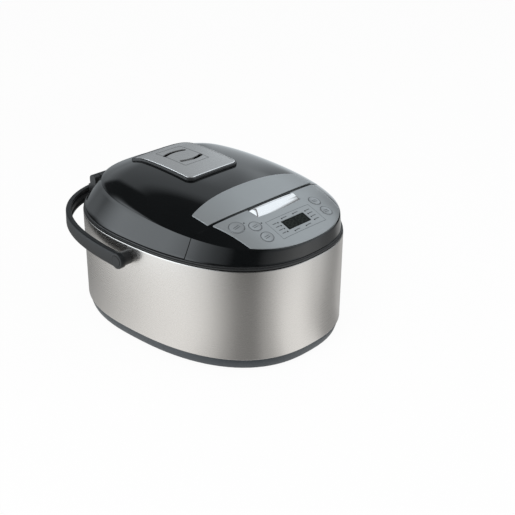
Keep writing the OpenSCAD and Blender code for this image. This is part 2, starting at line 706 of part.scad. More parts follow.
module inlet_screws() color([0.7, 0.7, 0.72]) mirrored() union() {
  along_y(inlet_screw_x, inlet_z, 1.5, rear_len - 8, rear_len + 3.5);
  along_y(inlet_screw_x, inlet_z, 3, rear_len + 3.5 - eps, rear_len + 5);
}

// ---- handle ----
bail_half = half_w + bail_side_gap;
bail_len = rear_len + bail_rear_gap + pivot_front;
disc_more = 0.4;
boss_out = bail_half - bail_t / 2 - disc_more - 0.4;
module handle_bosses() color([0.1, 0.1, 0.1]) mirrored() difference() {
  along_x(pivot_y, pivot_z, boss_r, half_w - 0.2, boss_out);
  along_x(pivot_y, pivot_z, pivot_r + 0.5, half_w - 1, boss_out + 1);
  prism(-0.1, pivot_z - boss_r - 5, pivot_z + boss_r + 5);
}

module pivot_pins() color([0.72, 0.72, 0.74]) mirrored() union() {
  along_x(pivot_y, pivot_z, pivot_r, half_w - 4, bail_half + bail_t / 2 - 1.5);
  along_x(pivot_y, pivot_z, pivot_r + 3, half_w - 4, half_w - steel_t - fit);
}

// The bar follows a rounded U in the plane of the handle, with its ends at the pivots.
bail_steps = 56;
bail_round = 2.2;
function bail_mid(s) = [
  bail_half * signed_pow(cos(s), 2 / bail_square),
  bail_len * pow(sin(s), 2 / bail_square)
];
function bail_out(s) =
  let (a = bail_mid(max(0, s - 1)))
  let (b = bail_mid(min(180, s + 1)))
  let (d = b - a)
  [d.y, -d.x] / norm(d);
bar_section = [
  [bail_t / 2, bail_h / 2 - bail_round], [bail_t / 2 - bail_round, bail_h / 2], [-bail_t / 2 + 1, bail_h / 2],
  [-bail_t / 2, bail_h / 2 - 1], [-bail_t / 2, -bail_h / 2 + 1], [-bail_t / 2 + 1, -bail_h / 2],
  [bail_t / 2 - bail_round, -bail_h / 2], [bail_t / 2, -bail_h / 2 + bail_round]
];
function bail_angle(k) = 180 * (k / bail_steps + 0.06 * sin(360 * k / bail_steps) / 2);
module bail_bar() {
  n = len(bar_section);
  points = [for (k = [0:bail_steps]) let (s = bail_angle(k)) let (m = bail_mid(s)) let (o = bail_out(s))
    for (c = bar_section) [m.x + o.x * c.x, m.y + o.y * c.x, c.y]];
  function at(k, j) = k * n + j % n;
  faces = concat(
    [[for (j = [n - 1:-1:0]) j]],
    [for (k = [0:bail_steps - 1]) for (j = [0:n - 1]) [at(k, j), at(k + 1, j + 1), at(k + 1, j)]],
    [for (k = [0:bail_steps - 1]) for (j = [0:n - 1]) [at(k, j), at(k, j + 1), at(k + 1, j + 1)]],
    [[for (j = [0:n - 1]) at(bail_steps, j)]]
  );
  polyhedron(points = points, faces = faces, convexity = 10);
}
module carry_handle() color([0.09, 0.09, 0.09]) translate([0, pivot_y, pivot_z]) difference() {
  union() {
    rotate([bail_tilt, 0, 0]) bail_bar();
    mirrored() along_x(0, 0, bail_h / 2 + disc_more, bail_half - bail_t / 2 - disc_more, bail_half + bail_t / 2 + disc_more);
  }
  along_x(0, 0, pivot_r + pin_gap, -bail_half - 20, bail_half + 20);
  mirrored() along_x(0, 0, 7.3, bail_half + bail_t / 2 - 1.2, bail_half + 20);
}

module handle_caps() color([0.14, 0.14, 0.14]) translate([0, pivot_y, pivot_z]) mirrored()
  along_x(0, 0, 7, bail_half + bail_t / 2 - 1.2, bail_half + bail_t / 2 + 0.6);

// ---- hinge ----
barrel_half = hinge_half - ear_w - 0.4;
arm_top = hinge_z + 5.5;
arm_front = crease_rear_y - 8;
arm_rear = hinge_y - barrel_r - 1;
neck_len = 14;
liner_z = lid_bottom + 2.6;
liner_t = 2.6;
liner_top = liner_z + liner_t;
module hinge_bracket() color([0.09, 0.09, 0.095]) difference() {
  union() {
    block(-hinge_half, hinge_half, hinge_y - 20, bracket_y, bracket_z, hinge_z - barrel_r - 3);
    mirrored() block(hinge_half - ear_w, hinge_half, hinge_y - barrel_r, hinge_y + barrel_r, hinge_z - barrel_r - 4, hinge_z);
    mirrored() along_x(hinge_y, hinge_z, barrel_r, hinge_half - ear_w, hinge_half);
  }
  prism(-fit, bracket_z - 1, band_top + fit);
  block(-hinge_half - 1, hinge_half + 1, hinge_y - 30, hinge_y - barrel_r, band_top, hinge_z);
  along_x(hinge_y, hinge_z, hinge_pin_r + 0.02, -hinge_half - 1, hinge_half + 1);
  mirrored() along_y(hinge_screw_x, hinge_screw_z, screw_hole_r, rear_len - 30, bracket_y - 2);
}

screw_seat = plan_point(asin(pow(hinge_screw_x / half_w, rear_square / 2)), 0).y - steel_t;
module hinge_screws() color([0.7, 0.7, 0.72]) mirrored() union() {
  along_y(hinge_screw_x, hinge_screw_z, head_r, screw_seat - 3.4, screw_seat - 1.4);
  along_y(hinge_screw_x, hinge_screw_z, screw_r, screw_seat - 1.4 - eps, bracket_y - 2.5);
}

module hinge_pin() color([0.75, 0.75, 0.77]) along_x(hinge_y, hinge_z, hinge_pin_r, -hinge_half, hinge_half);

spring_half = 9;
module lid_spring() color([0.75, 0.75, 0.78]) union() {
  translate([-spring_half + 1, hinge_y, hinge_z]) rotate([0, 90, 0]) coil(4.2, 0.9, 2 * spring_half - 2, 6);
}

module hinge_block() color([0.06, 0.06, 0.065]) difference() {
  union() {
    block(-barrel_half, barrel_half, arm_rear - neck_len, hinge_y, liner_top, arm_top);
    along_x(hinge_y, hinge_z, barrel_r, -barrel_half, barrel_half);
    intersection() {
      block(-hinge_half - 0.5, hinge_half + 0.5, arm_front, arm_rear, liner_top, arm_top);
      translate([0, 0, liner_top - 1]) linear_extrude(arm_top - liner_top + 2)
        polygon(lid_loop((arm_top - lid_bottom) / crease_rise, 0, split_gap / 2));
    }
  }
  along_x(hinge_y, hinge_z, hinge_pin_r + pin_gap, -hinge_half - 1, hinge_half + 1);
  block(-spring_half - 0.5, spring_half + 0.5, arm_rear, hinge_y + 20, hinge_z - 20, hinge_z + 20);
  mirrored() post(lid_screw_x, lid_screw_y, screw_hole_r, liner_top - 1, liner_top + 12);
}

// ---- lid ----
lid_screw_x = 49;
lid_screw_y = arm_front + 8;
lid_c = [0, (split_y + crease_rear_y) / 2];
vent_y = rear_len - vent_from_rear;
window_top = arm_top + 0.5;

module lid_shell() color([0.05, 0.05, 0.055]) difference() {
  top_shell(
    lid_loop(0, 0, split_gap / 2), lid_loop(1, 0, split_gap / 2),
    lid_loop(0, wall, split_gap / 2 + wall), lid_loop(1, wall, split_gap / 2 + wall),
    lid_c, lid_bottom
  );
  translate([0, 0, band_top + 20]) linear_extrude(90) polygon(vent_loop(-well_lip));
  block(-hinge_half - 1.2, hinge_half + 1.2, arm_front - 4, rear_len + 5, band_top - 1, window_top);
  block(-latch_slot, latch_slot, split_y - 4, split_y + 5, lid_bottom - 1, hook_z + 7);
}

trim_half = panel_half + 3;
trim_rear_depth = 49.1;
trim_rear_r = 379;
trim_loop = concat(
  [for (i = [0:16]) let (x = trim_half * (i / 8 - 1)) [x, split_at(x) + groove_rear]],
  [for (i = [0:16]) let (x = trim_half * (1 - i / 8)) [x, split_y + trim_rear_depth - x * x / (2 * trim_rear_r)]]
);
module lid_trim() color([0.62, 0.64, 0.66])
  top_plate(trim_loop, [0, split_y + trim_rear_depth / 2], plate_lift, plate_lift + panel_t);

liner_w = (liner_top - lid_bottom) / crease_rise;
gasket_in = 10;
module lid_liner() color([0.55, 0.56, 0.58]) difference() {
  union() {
    translate([0, 0, liner_z]) linear_extrude(liner_t) polygon(lid_loop(liner_w, wall + 0.4, split_gap / 2 + wall + 0.4));
    translate([0, 0, lid_bottom]) linear_extrude(liner_z - lid_bottom + eps) difference() {
      polygon(lid_loop(liner_w, wall + 0.4, split_gap / 2 + wall + 0.4));
      polygon(lid_loop(liner_w, wall + 3, split_gap / 2 + wall + 3));
    }
  }
  translate([0, pot_y, 0]) post(0, 0, 12, liner_z - 1, liner_top + 1);
  post(0, vent_y, tube_r - 2, liner_z - 1, liner_top + 1);
  mirrored() post(lid_screw_x, lid_screw_y, 2.1, lid_bottom - 1, liner_top + 1);
  block(-hinge_half - 1.2, hinge_half + 1.2, arm_rear, rear_len + 5, lid_bottom - 1, liner_top + 1);
}

inner_lid_r = pot_r - 4;
module inner_lid() color([0.75, 0.76, 0.78]) translate([0, pot_y, 0]) difference() {
  post(0, 0, inner_lid_r, liner_z - 1.6, liner_z - 0.4, $fn = 96);
  post(0, 0, 4.2, liner_z - 3, liner_z + 1);
  for (a = [0:60:300]) rotate(a) post(20, 0, 2.5, liner_z - 3, liner_z + 1);
}

module inner_lid_gasket() color([0.85, 0.85, 0.83]) translate([0, pot_y, 0]) difference() {
  post(0, 0, flange_r - 1, band_top + fit, liner_z - 0.1, $fn = 96);
  post(0, 0, inner_lid_r + 0.2, band_top - 1, liner_z + 1, $fn = 96);
}

module inner_lid_knob() color([0.2, 0.2, 0.2]) translate([0, pot_y, 0]) union() {
  post(0, 0, 9, liner_z - 7, liner_z - 1.7);
  post(0, 0, 4, liner_z - 2, liner_z + 0.3);
  difference() {
    post(0, 0, 11, liner_z, liner_top - 0.2);
    post(0, 0, 3, liner_z + 0.3, liner_top + 1);
  }
}

module lid_screws() color([0.7, 0.7, 0.72]) mirrored() union() {
  post(lid_screw_x, lid_screw_y, head_r, lid_bottom + 0.3, liner_z - 0.2);
  post(lid_screw_x, lid_screw_y, screw_r, liner_z - 0.2 - eps, liner_top + 10);
}

catch_half = 9;
catch_y = split_y + hook_reach + 0.2;
module latch_catch() color([0.72, 0.72, 0.74]) difference() {
  block(-catch_half, catch_half, split_y + split_gap / 2 + wall + 0.3, catch_y + 4, liner_top, hook_z + 8);
  block(-catch_half + 2, catch_half - 2, split_y, catch_y, hook_z - 0.5, hook_z + 9);
}

// ---- steam vent ----
vent_corners = [[-1, -1, 180], [1, -1, 270], [1, 1, 0], [-1, 1, 90]];
side_points = 9;
function vent_loop(grow) =
  let (w = vent_w / 2 + grow)
  let (l = vent_l / 2 + grow)
  let (r = vent_corner + grow)
  let (arcs = [for (c = vent_corners) [for (i = [0:6])
    [c.x * (w - r) + r * cos(c[2] + 15 * i), vent_y + c.y * (l - r) + r * sin(c[2] + 15 * i)]]])
  [for (k = [0:3]) each concat(
    arcs[k],
    [for (i = [1:side_points]) lerp(arcs[k][6], arcs[(k + 1) % 4][0], i / (side_points + 1))]
  )];
vent_c = [0, vent_y];
vent_top = top_z(0, vent_y);
well_lip = 4.5;
well_depth = 24;
well_t = 2;
tube_r = 9;
module vent_well() color([0.12, 0.12, 0.13]) difference() {
  union() {
    difference() {
      top_plate(vent_loop(well_t - well_lip), vent_c, -well_depth, -wall - 2 * fit);
      top_plate(vent_loop(-well_lip), vent_c, well_t - well_depth, 5);
    }
    post(0, vent_y, tube_r, liner_top, vent_top - well_depth + 6);
  }
  post(0, vent_y, tube_r - 2, liner_top - 1, vent_top);
}

module vent_seal() color([0.8, 0.25, 0.15]) translate([0, vent_y, vent_top - well_depth + well_t]) difference() {
  post(0, 0, tube_r + 3, 3 * fit, 3.3);
  post(0, 0, tube_r + 0.2, -1, 4);
}

housing_h = 2.6;
housing_edge = 1.6;
vent_fall = 1.2;
vent_plate_t = 1.2;
vent_plate_gap = 0.35;
housing_skirt = 9;
valve_r = 13;
module vent_housing() color([0.06, 0.06, 0.065]) difference() {
  union() {
    top_plate(vent_loop(housing_edge), vent_c, 2 * fit, housing_h, 0, vent_fall);
    difference() {
      top_plate(vent_loop(-well_lip - fit), vent_c, -housing_skirt, 3 * fit);
      top_plate(vent_loop(-well_lip - fit - well_t), vent_c, -housing_skirt - 3, 3 * fit + 1);
    }
  }
  block(-slot_l / 2 - 3, slot_l / 2 + 3, vent_y - 20, vent_y + 20, vent_top - 12, vent_top + 12);
}

slot_bow = 44;
slot_from_mid = 13.75;
slot_mid_y = vent_y + 1.75;
module steam_slot() {
  half = asin(slot_l / 2 / slot_bow);
  translate([0, slot_mid_y + slot_from_mid - slot_bow + 3.2, band_top + 40]) linear_extrude(40) union() {
    difference() {
      circle(r = slot_bow + slot_w / 2, $fn = 120);
      circle(r = slot_bow - slot_w / 2, $fn = 120);
      polygon([[0, 0], 200 * [sin(half), cos(half)], [200, -200], [-200, -200], 200 * [-sin(half), cos(half)]]);
    }
    for (s = [-1, 1]) translate(slot_bow * [s * sin(half), cos(half)]) circle(r = slot_w / 2, $fn = 24);
  }
}
module vent_plate() color([0.72, 0.72, 0.71]) difference() {
  top_plate(vent_loop(0), vent_c, housing_h + vent_plate_gap, housing_h + vent_plate_gap + vent_plate_t, vent_fall, vent_fall);
  steam_slot();
  translate([0, slot_mid_y, 0]) rotate(180) translate([0, -slot_mid_y, 0]) steam_slot();
}

module vent_valve() color([0.6, 0.6, 0.6]) translate([0, vent_y, vent_top]) difference() {
  post(0, 0, valve_r, -12, housing_h - 4 * fit);
  post(0, 0, valve_r - 2, -10, housing_h + 1);
  for (a = [0:60:300]) rotate(a) post(7, 0, 2, -13, -9);
}

// ---- assembly ----
bail_rear_y = pivot_y + (bail_len + bail_t / 2) * cos(bail_tilt) + (bail_h / 2 - bail_round) * sin(bail_tilt);
shift_y = (front_len - bail_rear_y) / 2;
module placed() {
  translate([0, shift_y, 0]) children();
}

placed() steel_shell();
placed() base_cover();
placed() rubber_feet();
placed() base_screws();
placed() rim_collar();
placed() front_fascia();
placed() control_panel();
placed() display_window();
placed() display_module();
placed() indicator_lamps();
placed() control_board();
placed() key_switches();
placed() power_board();
placed() power_board_parts();
placed() inner_casing();
placed() heating_plate();
placed() heating_element();
placed() heater_supports();
placed() thermal_fuse();
placed() sensor_spring();
placed() inner_pot();
placed() power_inlet();
placed() inlet_pins();
placed() inlet_screws();
placed() handle_bosses();
placed() pivot_pins();
placed() hinge_bracket();
placed() hinge_screws();
placed() hinge_pin();
placed() lid_spring();
placed() latch_pin();
placed() latch_spring();
placed() lid_shell();
placed() lid_trim();
placed() lid_liner();
placed() inner_lid();
placed() inner_lid_gasket();
placed() inner_lid_knob();
placed() hinge_block();
placed() lid_screws();
placed() latch_catch();
placed() vent_well();
placed() vent_seal();
placed() vent_housing();
placed() vent_plate();
placed() vent_valve();
placed() carry_handle();
placed() handle_caps();
placed() release_button();
placed() latch_hook();
placed() key_large();
placed() key_left_upper();
placed() key_left_lower();
placed() key_right_upper();
placed() key_right_lower();
placed() pot_sensor();
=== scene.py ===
# %% [markdown]
# # A countertop multicooker, finished over its frame
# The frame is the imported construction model: it gives the real size, the joints and the place of every piece.
# This lesson lays the visible surfaces over it: a brushed steel wall, a black glossy lid and front housing,
# a grey control panel with its keys, a chrome release button, a lift-out steam vent and a folding handle.
# Each shape is a formula on a grid, so it can be made as fine as the light needs.

# %% Load the frame
import json
import math
import bpy
import numpy as np
from mathutils import Matrix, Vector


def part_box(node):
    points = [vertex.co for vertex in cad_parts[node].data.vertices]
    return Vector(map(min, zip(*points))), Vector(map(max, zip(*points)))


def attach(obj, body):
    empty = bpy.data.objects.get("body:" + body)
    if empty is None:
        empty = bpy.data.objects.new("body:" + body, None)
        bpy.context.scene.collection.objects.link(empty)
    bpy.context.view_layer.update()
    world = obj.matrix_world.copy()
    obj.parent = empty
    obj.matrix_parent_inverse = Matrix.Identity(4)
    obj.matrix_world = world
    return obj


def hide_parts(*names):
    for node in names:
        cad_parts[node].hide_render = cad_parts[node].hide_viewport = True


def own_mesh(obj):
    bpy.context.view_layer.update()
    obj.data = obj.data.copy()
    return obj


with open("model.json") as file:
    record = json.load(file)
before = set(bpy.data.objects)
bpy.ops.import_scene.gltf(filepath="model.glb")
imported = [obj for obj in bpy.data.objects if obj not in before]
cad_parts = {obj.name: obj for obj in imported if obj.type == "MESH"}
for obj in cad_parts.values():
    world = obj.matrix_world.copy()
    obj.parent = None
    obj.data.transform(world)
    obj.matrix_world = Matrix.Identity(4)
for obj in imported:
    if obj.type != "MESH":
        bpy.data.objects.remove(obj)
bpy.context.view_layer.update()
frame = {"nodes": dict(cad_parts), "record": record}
MM = 0.001
FRONT, REAR = 198.0, 165.0
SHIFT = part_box("steel_shell")[0][1] / MM + FRONT

# %% [markdown]
# ## The shape of the body
# Seen from above, the body is a rounded egg: two half superellipses that meet at the widest line. The top is
# a low dome. It starts from an edge line that runs round the lid, and its middle line rises from the front
# panel to a crown behind the centre. These few formulas place every surface that follows, in millimetres.

# %% Plan outline and edge line
HALF_W = 137.5
BAND_TOP = 144.0
KNEE_Y = -123.3
SPLIT_Y = -117.4
PANEL_HALF = 91.0
VENT_Y = 33.5
POT_Y = 22.0


def signed_power(v, e):
    """The sign of v times its size to the power e."""
    return np.sign(v) * np.abs(v) ** e


def plan_xy(a, inset):
    """Superellipse in each half: x = (half width - inset) * sin^(2/n), y = (length - inset) * cos^(2/n)."""
    a = np.radians(np.asarray(a, float))
    s, c = np.sin(a), np.cos(a)
    rear = c >= 0
    e = np.where(rear, 2 / 2.33, 2 / 2.47)
    length = np.where(rear, REAR, FRONT)
    return np.stack([(HALF_W - inset) * signed_power(s, e), (length - inset) * signed_power(c, e)], -1)


def edge_z(y):
    """Height of the edge line: a shallow parabola along y."""
    return BAND_TOP + 32 + 4.55 * y / 100 - 1.49 * (y / 100) ** 2


def edge_xy(a, t):
    """The plan outline drawn in by an amount that grows steadily from front to rear, plus t."""
    p = plan_xy(a, 0)
    c = 3 + 25 * (p[..., 1] + FRONT) / (FRONT + REAR) + t
    length = np.where(p[..., 1] >= 0, REAR, FRONT)
    return np.stack([p[..., 0] * (1 - c / HALF_W), p[..., 1] * (1 - c / length)], -1)


EDGE_TABLE = edge_xy(np.linspace(180, 0, 721), 0)
EDGE_FRONT, EDGE_REAR = EDGE_TABLE[0, 1], EDGE_TABLE[-1, 1]
print("edge line runs from", round(EDGE_FRONT, 1), "to", round(EDGE_REAR, 1))

# %% Height of the top


def cubic(y, a, b):
    """Hermite cubic between two (y, height, slope) points."""
    h = b[0] - a[0]
    t = (y - a[0]) / h
    rise = a[1] * (1 - 3 * t**2 + 2 * t**3) + b[1] * (3 * t**2 - 2 * t**3)
    return rise + h * (a[2] * (t - 2 * t**2 + t**3) + b[2] * (t**3 - t**2))


SPINE = [(EDGE_FRONT, edge_z(EDGE_FRONT), 0.40), (KNEE_Y, 186.0, 0.15), (57.0, 204.7, 0.0),
         (EDGE_REAR, edge_z(EDGE_REAR), -0.34)]


def spine_z(y):
    """The middle line of the top: three cubics end to end."""
    y = np.clip(y, EDGE_FRONT, EDGE_REAR)
    front, mid, back = (cubic(y, SPINE[i], SPINE[i + 1]) for i in range(3))
    return np.where(y < SPINE[1][0], front, np.where(y < SPINE[2][0], mid, back))


def top_z(x, y):
    """Sideways the height falls from the middle line to the edge line as (1 - u^3.33)^0.76.

    Here u is |x| over the half width of the edge line at that y.
    """
    wide = np.maximum(np.interp(y, EDGE_TABLE[:, 1], EDGE_TABLE[:, 0]), 0.5)
    u = np.minimum(np.abs(x) / wide, 1)
    low = edge_z(y)
    return low + (spine_z(y) - low) * np.maximum(1 - u**3.33, 0) ** 0.76


def on_top(p, dz=0.0):
    """Plan points set at the top's height plus dz."""
    return np.column_stack([p, top_z(p[:, 0], p[:, 1]) + dz])


def top_point(x, y):
    """One point of the top."""
    return np.array([x, y, float(top_z(x, y))])


def top_normal(x, y):
    """Unit normal of the top, from its slopes over one millimetre."""
    sx = top_z(x + 0.5, y) - top_z(x - 0.5, y)
    sy = top_z(x, y + 0.5) - top_z(x, y - 0.5)
    n = np.array([-sx, -sy, np.ones_like(sx)])
    return n / np.linalg.norm(n, axis=0)


def split_at(x):
    """The lid's front edge runs back towards the sides: y = split + 7.6 * (|x| / 91)^3.1."""
    return SPLIT_Y + 7.6 * (np.abs(x) / PANEL_HALF) ** 3.1


print("crown", float(top_z(0.0, 57.0)), "at the split", float(top_z(0.0, SPLIT_Y)))

# %% [markdown]
# ## From grid to mesh
# Every surface here is a stack of closed rings, each with the same number of points. One helper turns the
# stack into quads, and closes its ends with a fan or joins its last ring to its first. Another gives the
# object its material and its body. Faces run so that normals point outwards.

# %% Helpers that make the pieces
MATERIALS = {}


def ring_faces(rows, n, join_rows=False):
    """Quads between neighbouring rings, as index arrays: (row, i), (row+1, i), (row+1, i+1), (row, i+1)."""
    k = np.arange(rows if join_rows else rows - 1)[:, None]
    i = np.arange(n)[None, :]
    k2, i2 = (k + 1) % rows, (i + 1) % n
    return np.stack([k * n + i, k2 * n + i, k2 * n + i2, k * n + i2], -1).reshape(-1, 4)


def make_object(name, verts, *faces):
    """A mesh object at the origin from millimetre vertices and arrays of faces, moved by SHIFT along y."""
    v = (np.asarray(verts, float) + [0, SHIFT, 0]) * MM
    mesh = bpy.data.meshes.new(name)
    mesh.from_pydata(v.tolist(), [], [face for group in faces for face in group.tolist()])
    mesh.validate()
    obj = bpy.data.objects.new(name, mesh)
    bpy.context.scene.collection.objects.link(obj)
    return obj


def stack(name, rings, start=None, end=None, join=False):
    """A surface from a stack of rings, with optional poles that close its first and last ring by a fan."""
    rings = np.asarray(rings, float)
    rows, n = rings.shape[:2]
    verts, faces = list(rings.reshape(-1, 3)), [ring_faces(rows, n, join)]
    i = np.arange(n)
    for pole, first, order in ((start, 0, [1, 0, 2]), (end, (rows - 1) * n, [0, 1, 2])):
        if pole is not None:
            fan = np.stack([first + i, np.full(n, len(verts)), first + (i + 1) % n], -1)
            faces.append(fan[:, order])
            verts.append(pole)
    return make_object(name, verts, *faces)


def apply_modifiers(obj):
    """Replaces the mesh by its evaluated result, so that nothing stays live."""
    shaped = bpy.data.meshes.new_from_object(obj.evaluated_get(bpy.context.evaluated_depsgraph_get()))
    obj.modifiers.clear()
    obj.data = shaped


def thicken(obj, mm):
    """Gives an open sheet a wall on its inner side."""
    m = obj.modifiers.new("wall", "SOLIDIFY")
    m.thickness, m.offset, m.use_even_offset = mm * MM, -1, False
    apply_modifiers(obj)


def cut(obj, cutters):
    """Cuts clean holes with closed prisms, then removes the prisms."""
    for c in cutters:
        m = obj.modifiers.new("cut", "BOOLEAN")
        m.operation, m.solver, m.object = "DIFFERENCE", "MANIFOLD", c
    apply_modifiers(obj)
    for c in cutters:
        bpy.data.objects.remove(c)


def finish_piece(obj, material, body, replaces=(), crease=35):
    """Smooth shading with crisp edges past an angle, then material, body and the node it stands for."""
    obj.data.shade_smooth()
    obj.data.set_sharp_from_angle(angle=math.radians(crease))
    obj.data.materials.clear()
    obj.data.materials.append(MATERIALS[material])
    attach(obj, body)
    if replaces:
        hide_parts(*replaces)
    print(obj.name, len(obj.data.polygons), "faces")


# %% Prisms and turned pieces


def prism(outline, z0, z1):
    """A closed prism over a counter-clockwise outline."""
    outline = np.asarray(outline, float)
    rings = [np.column_stack([outline, np.full(len(outline), z)]) for z in (z1, z0)]
    middle = outline.mean(0)
    return stack("cutter", rings, start=[*middle, z1], end=[*middle, z0])


def bar(x0, x1, y0, y1):
    """Corners of a rectangle, counter-clockwise."""
    return np.array([[x0, y0], [x1, y0], [x1, y1], [x0, y1]], float)


def rounded(w, l, r, cy=0.0, per=10, side=8):
    """A rectangle with round corners, counter-clockwise, with points along its sides as well."""
    out = []
    for sx, sy, a0 in ((1, -1, 270), (1, 1, 0), (-1, 1, 90), (-1, -1, 180)):
        a = np.radians(a0 + np.linspace(0, 90, per))
        out.append(np.column_stack([sx * (w / 2 - r) + r * np.cos(a), cy + sy * (l / 2 - r) + r * np.sin(a)]))
    pts = []
    for k in range(4):
        a, b = out[k][-1], out[(k + 1) % 4][0]
        pts += [out[k], a + (b - a) * (np.arange(1, side + 1) / (side + 1))[:, None]]
    return np.vstack(pts)


def turned(name, centre, axis, profile, n=72):
    """A profile of (radius, height), from the axis back to the axis, spun about an axis through a point."""
    axis = np.asarray(axis, float) / np.linalg.norm(axis)
    side = np.cross([0, 1, 0], axis) if abs(axis[1]) < 0.9 else np.cross([1, 0, 0], axis)
    side /= np.linalg.norm(side)
    third = np.cross(axis, side)
    a = np.linspace(0, 2 * np.pi, n, endpoint=False)[:, None]
    spoke = np.cos(a) * side + np.sin(a) * third
    rings = [centre + spoke * r + axis * h for r, h in profile if r > 0]
    return stack(name, rings, start=centre + axis * profile[0][1], end=centre + axis * profile[-1][1])


def tilted_prism(x, y, r, low, high):
    """A round prism standing square to the top at one place, from low to high along the normal."""
    return turned("cutter", top_point(x, y), top_normal(x, y), [(0, high), (r, high), (r, low), (0, low)], 64)


def between(x, front, back):
    """A counter-clockwise outline along the front edge and back along the rear edge."""
    return np.vstack([np.column_stack([x, front]), np.column_stack([x, back])[::-1]])


def to_left(steps):
    """The unit vector a quarter turn to the left of each step."""
    n = np.column_stack([-steps[:, 1], steps[:, 0]])
    return n / np.linalg.norm(n, axis=1)[:, None]


print("helpers ready")

# %% [markdown]
# ## Finishes
# A real finish is never one flat value: moulded plastic has a fine grain, brushed metal has hairlines, and a
# glossy cover has faint smears. Three shared node groups make these from the piece's own coordinates. Each
# puts out a colour, a roughness and a height, and every material sets its own amounts.

# %% Shared node groups


def add(tree, kind, values=None, **settings):
    """A node with some of its settings, and values for its inputs by number or name."""
    n = tree.nodes.new(kind)
    for key, value in settings.items():
        setattr(n, key, value)
    for key, value in (values or {}).items():
        n.inputs[key].default_value = value
    return n


def wire(tree, *links):
    """Joins an output to an input for each (node, output, node, input)."""
    for source, out, target, into in links:
        tree.links.new(source.outputs[out], target.inputs[into])


def surface_group(name, stretch):
    """Noise on object coordinates, stretched by a vector, which shades colour, roughness and height."""
    g = bpy.data.node_groups.new(name, "ShaderNodeTree")
    inputs = {"Base": (0.5, 0.5, 0.5, 1), "Tint": 0.1, "Scale": 200.0, "Low Roughness": 0.3,
              "High Roughness": 0.4, "Broad Scale": 12.0}
    for label, value in inputs.items():
        kind = "NodeSocketColor" if label == "Base" else "NodeSocketFloat"
        g.interface.new_socket(label, in_out="INPUT", socket_type=kind).default_value = value
    for label, kind in (("Color", "Color"), ("Roughness", "Float"), ("Height", "Float")):
        g.interface.new_socket(label, in_out="OUTPUT", socket_type="NodeSocket" + kind)
    gin, gout = g.nodes.new("NodeGroupInput"), g.nodes.new("NodeGroupOutput")
    noise_range = {"From Min": 0.3, "From Max": 0.7}
    coord = add(g, "ShaderNodeTexCoord")
    scaled = add(g, "ShaderNodeVectorMath", {1: stretch}, operation="MULTIPLY")
    fine = add(g, "ShaderNodeTexNoise", {"Detail": 3.0, "Roughness": 0.6})
    broad = add(g, "ShaderNodeTexNoise", {"Detail": 2.0})
    mix = add(g, "ShaderNodeMath", operation="ADD")
    half = add(g, "ShaderNodeMath", {1: 0.5}, operation="MULTIPLY")
    shade = add(g, "ShaderNodeMapRange", noise_range)
    low = add(g, "ShaderNodeMath", {0: 1.0}, operation="SUBTRACT")
    high = add(g, "ShaderNodeMath", {0: 1.0}, operation="ADD")
    tint = add(g, "ShaderNodeVectorMath", operation="SCALE")
    rough = add(g, "ShaderNodeMapRange", noise_range)
    wire(g, (coord, "Object", scaled, 0), (scaled, 0, fine, "Vector"), (gin, "Scale", fine, "Scale"),
         (coord, "Object", broad, "Vector"), (gin, "Broad Scale", broad, "Scale"), (fine, "Fac", mix, 0),
         (broad, "Fac", mix, 1), (mix, 0, half, 0), (gin, "Tint", low, 1), (gin, "Tint", high, 1),
         (half, 0, shade, "Value"), (low, 0, shade, "To Min"), (high, 0, shade, "To Max"),
         (gin, "Base", tint, 0), (shade, "Result", tint, "Scale"), (half, 0, rough, "Value"),
         (gin, "Low Roughness", rough, "To Min"), (gin, "High Roughness", rough, "To Max"),
         (tint, 0, gout, "Color"), (rough, "Result", gout, "Roughness"), (fine, "Fac", gout, "Height"))
    return g


STRETCH = {"moulded_grain": (1, 1, 1), "hairlines_round": (1, 1, 60), "hairlines_across": (1, 40, 40)}
GROUPS = {name: surface_group(name, stretch) for name, stretch in STRETCH.items()}
print("groups", list(GROUPS))

# %% A material from a group


def new_material(name):
    """An empty node material and its tree."""
    m = bpy.data.materials.new(name)
    m.use_nodes = True
    return m, m.node_tree


def material(name, base, tint, scale, rough, broad, bump=0.0, depth=0.0, group="moulded_grain", **shader):
    """A Principled material whose colour, roughness and bump come from one of the shared groups."""
    MATERIALS[name], tree = new_material(name)
    bsdf = tree.nodes["Principled BSDF"]
    finish = add(tree, "ShaderNodeGroup", {
        "Base": (*base, 1), "Tint": tint, "Scale": scale, "Broad Scale": broad, "Low Roughness": rough[0],
        "High Roughness": rough[1]}, node_tree=GROUPS[group], name="finish")
    wire(tree, (finish, "Color", bsdf, "Base Color"), (finish, "Roughness", bsdf, "Roughness"))
    if bump:
        grain = add(tree, "ShaderNodeBump", {"Strength": bump, "Distance": depth})
        wire(tree, (finish, "Height", grain, "Height"), (grain, "Normal", bsdf, "Normal"))
    for key, value in shader.items():
        bsdf.inputs[key.replace("_", " ")].default_value = value


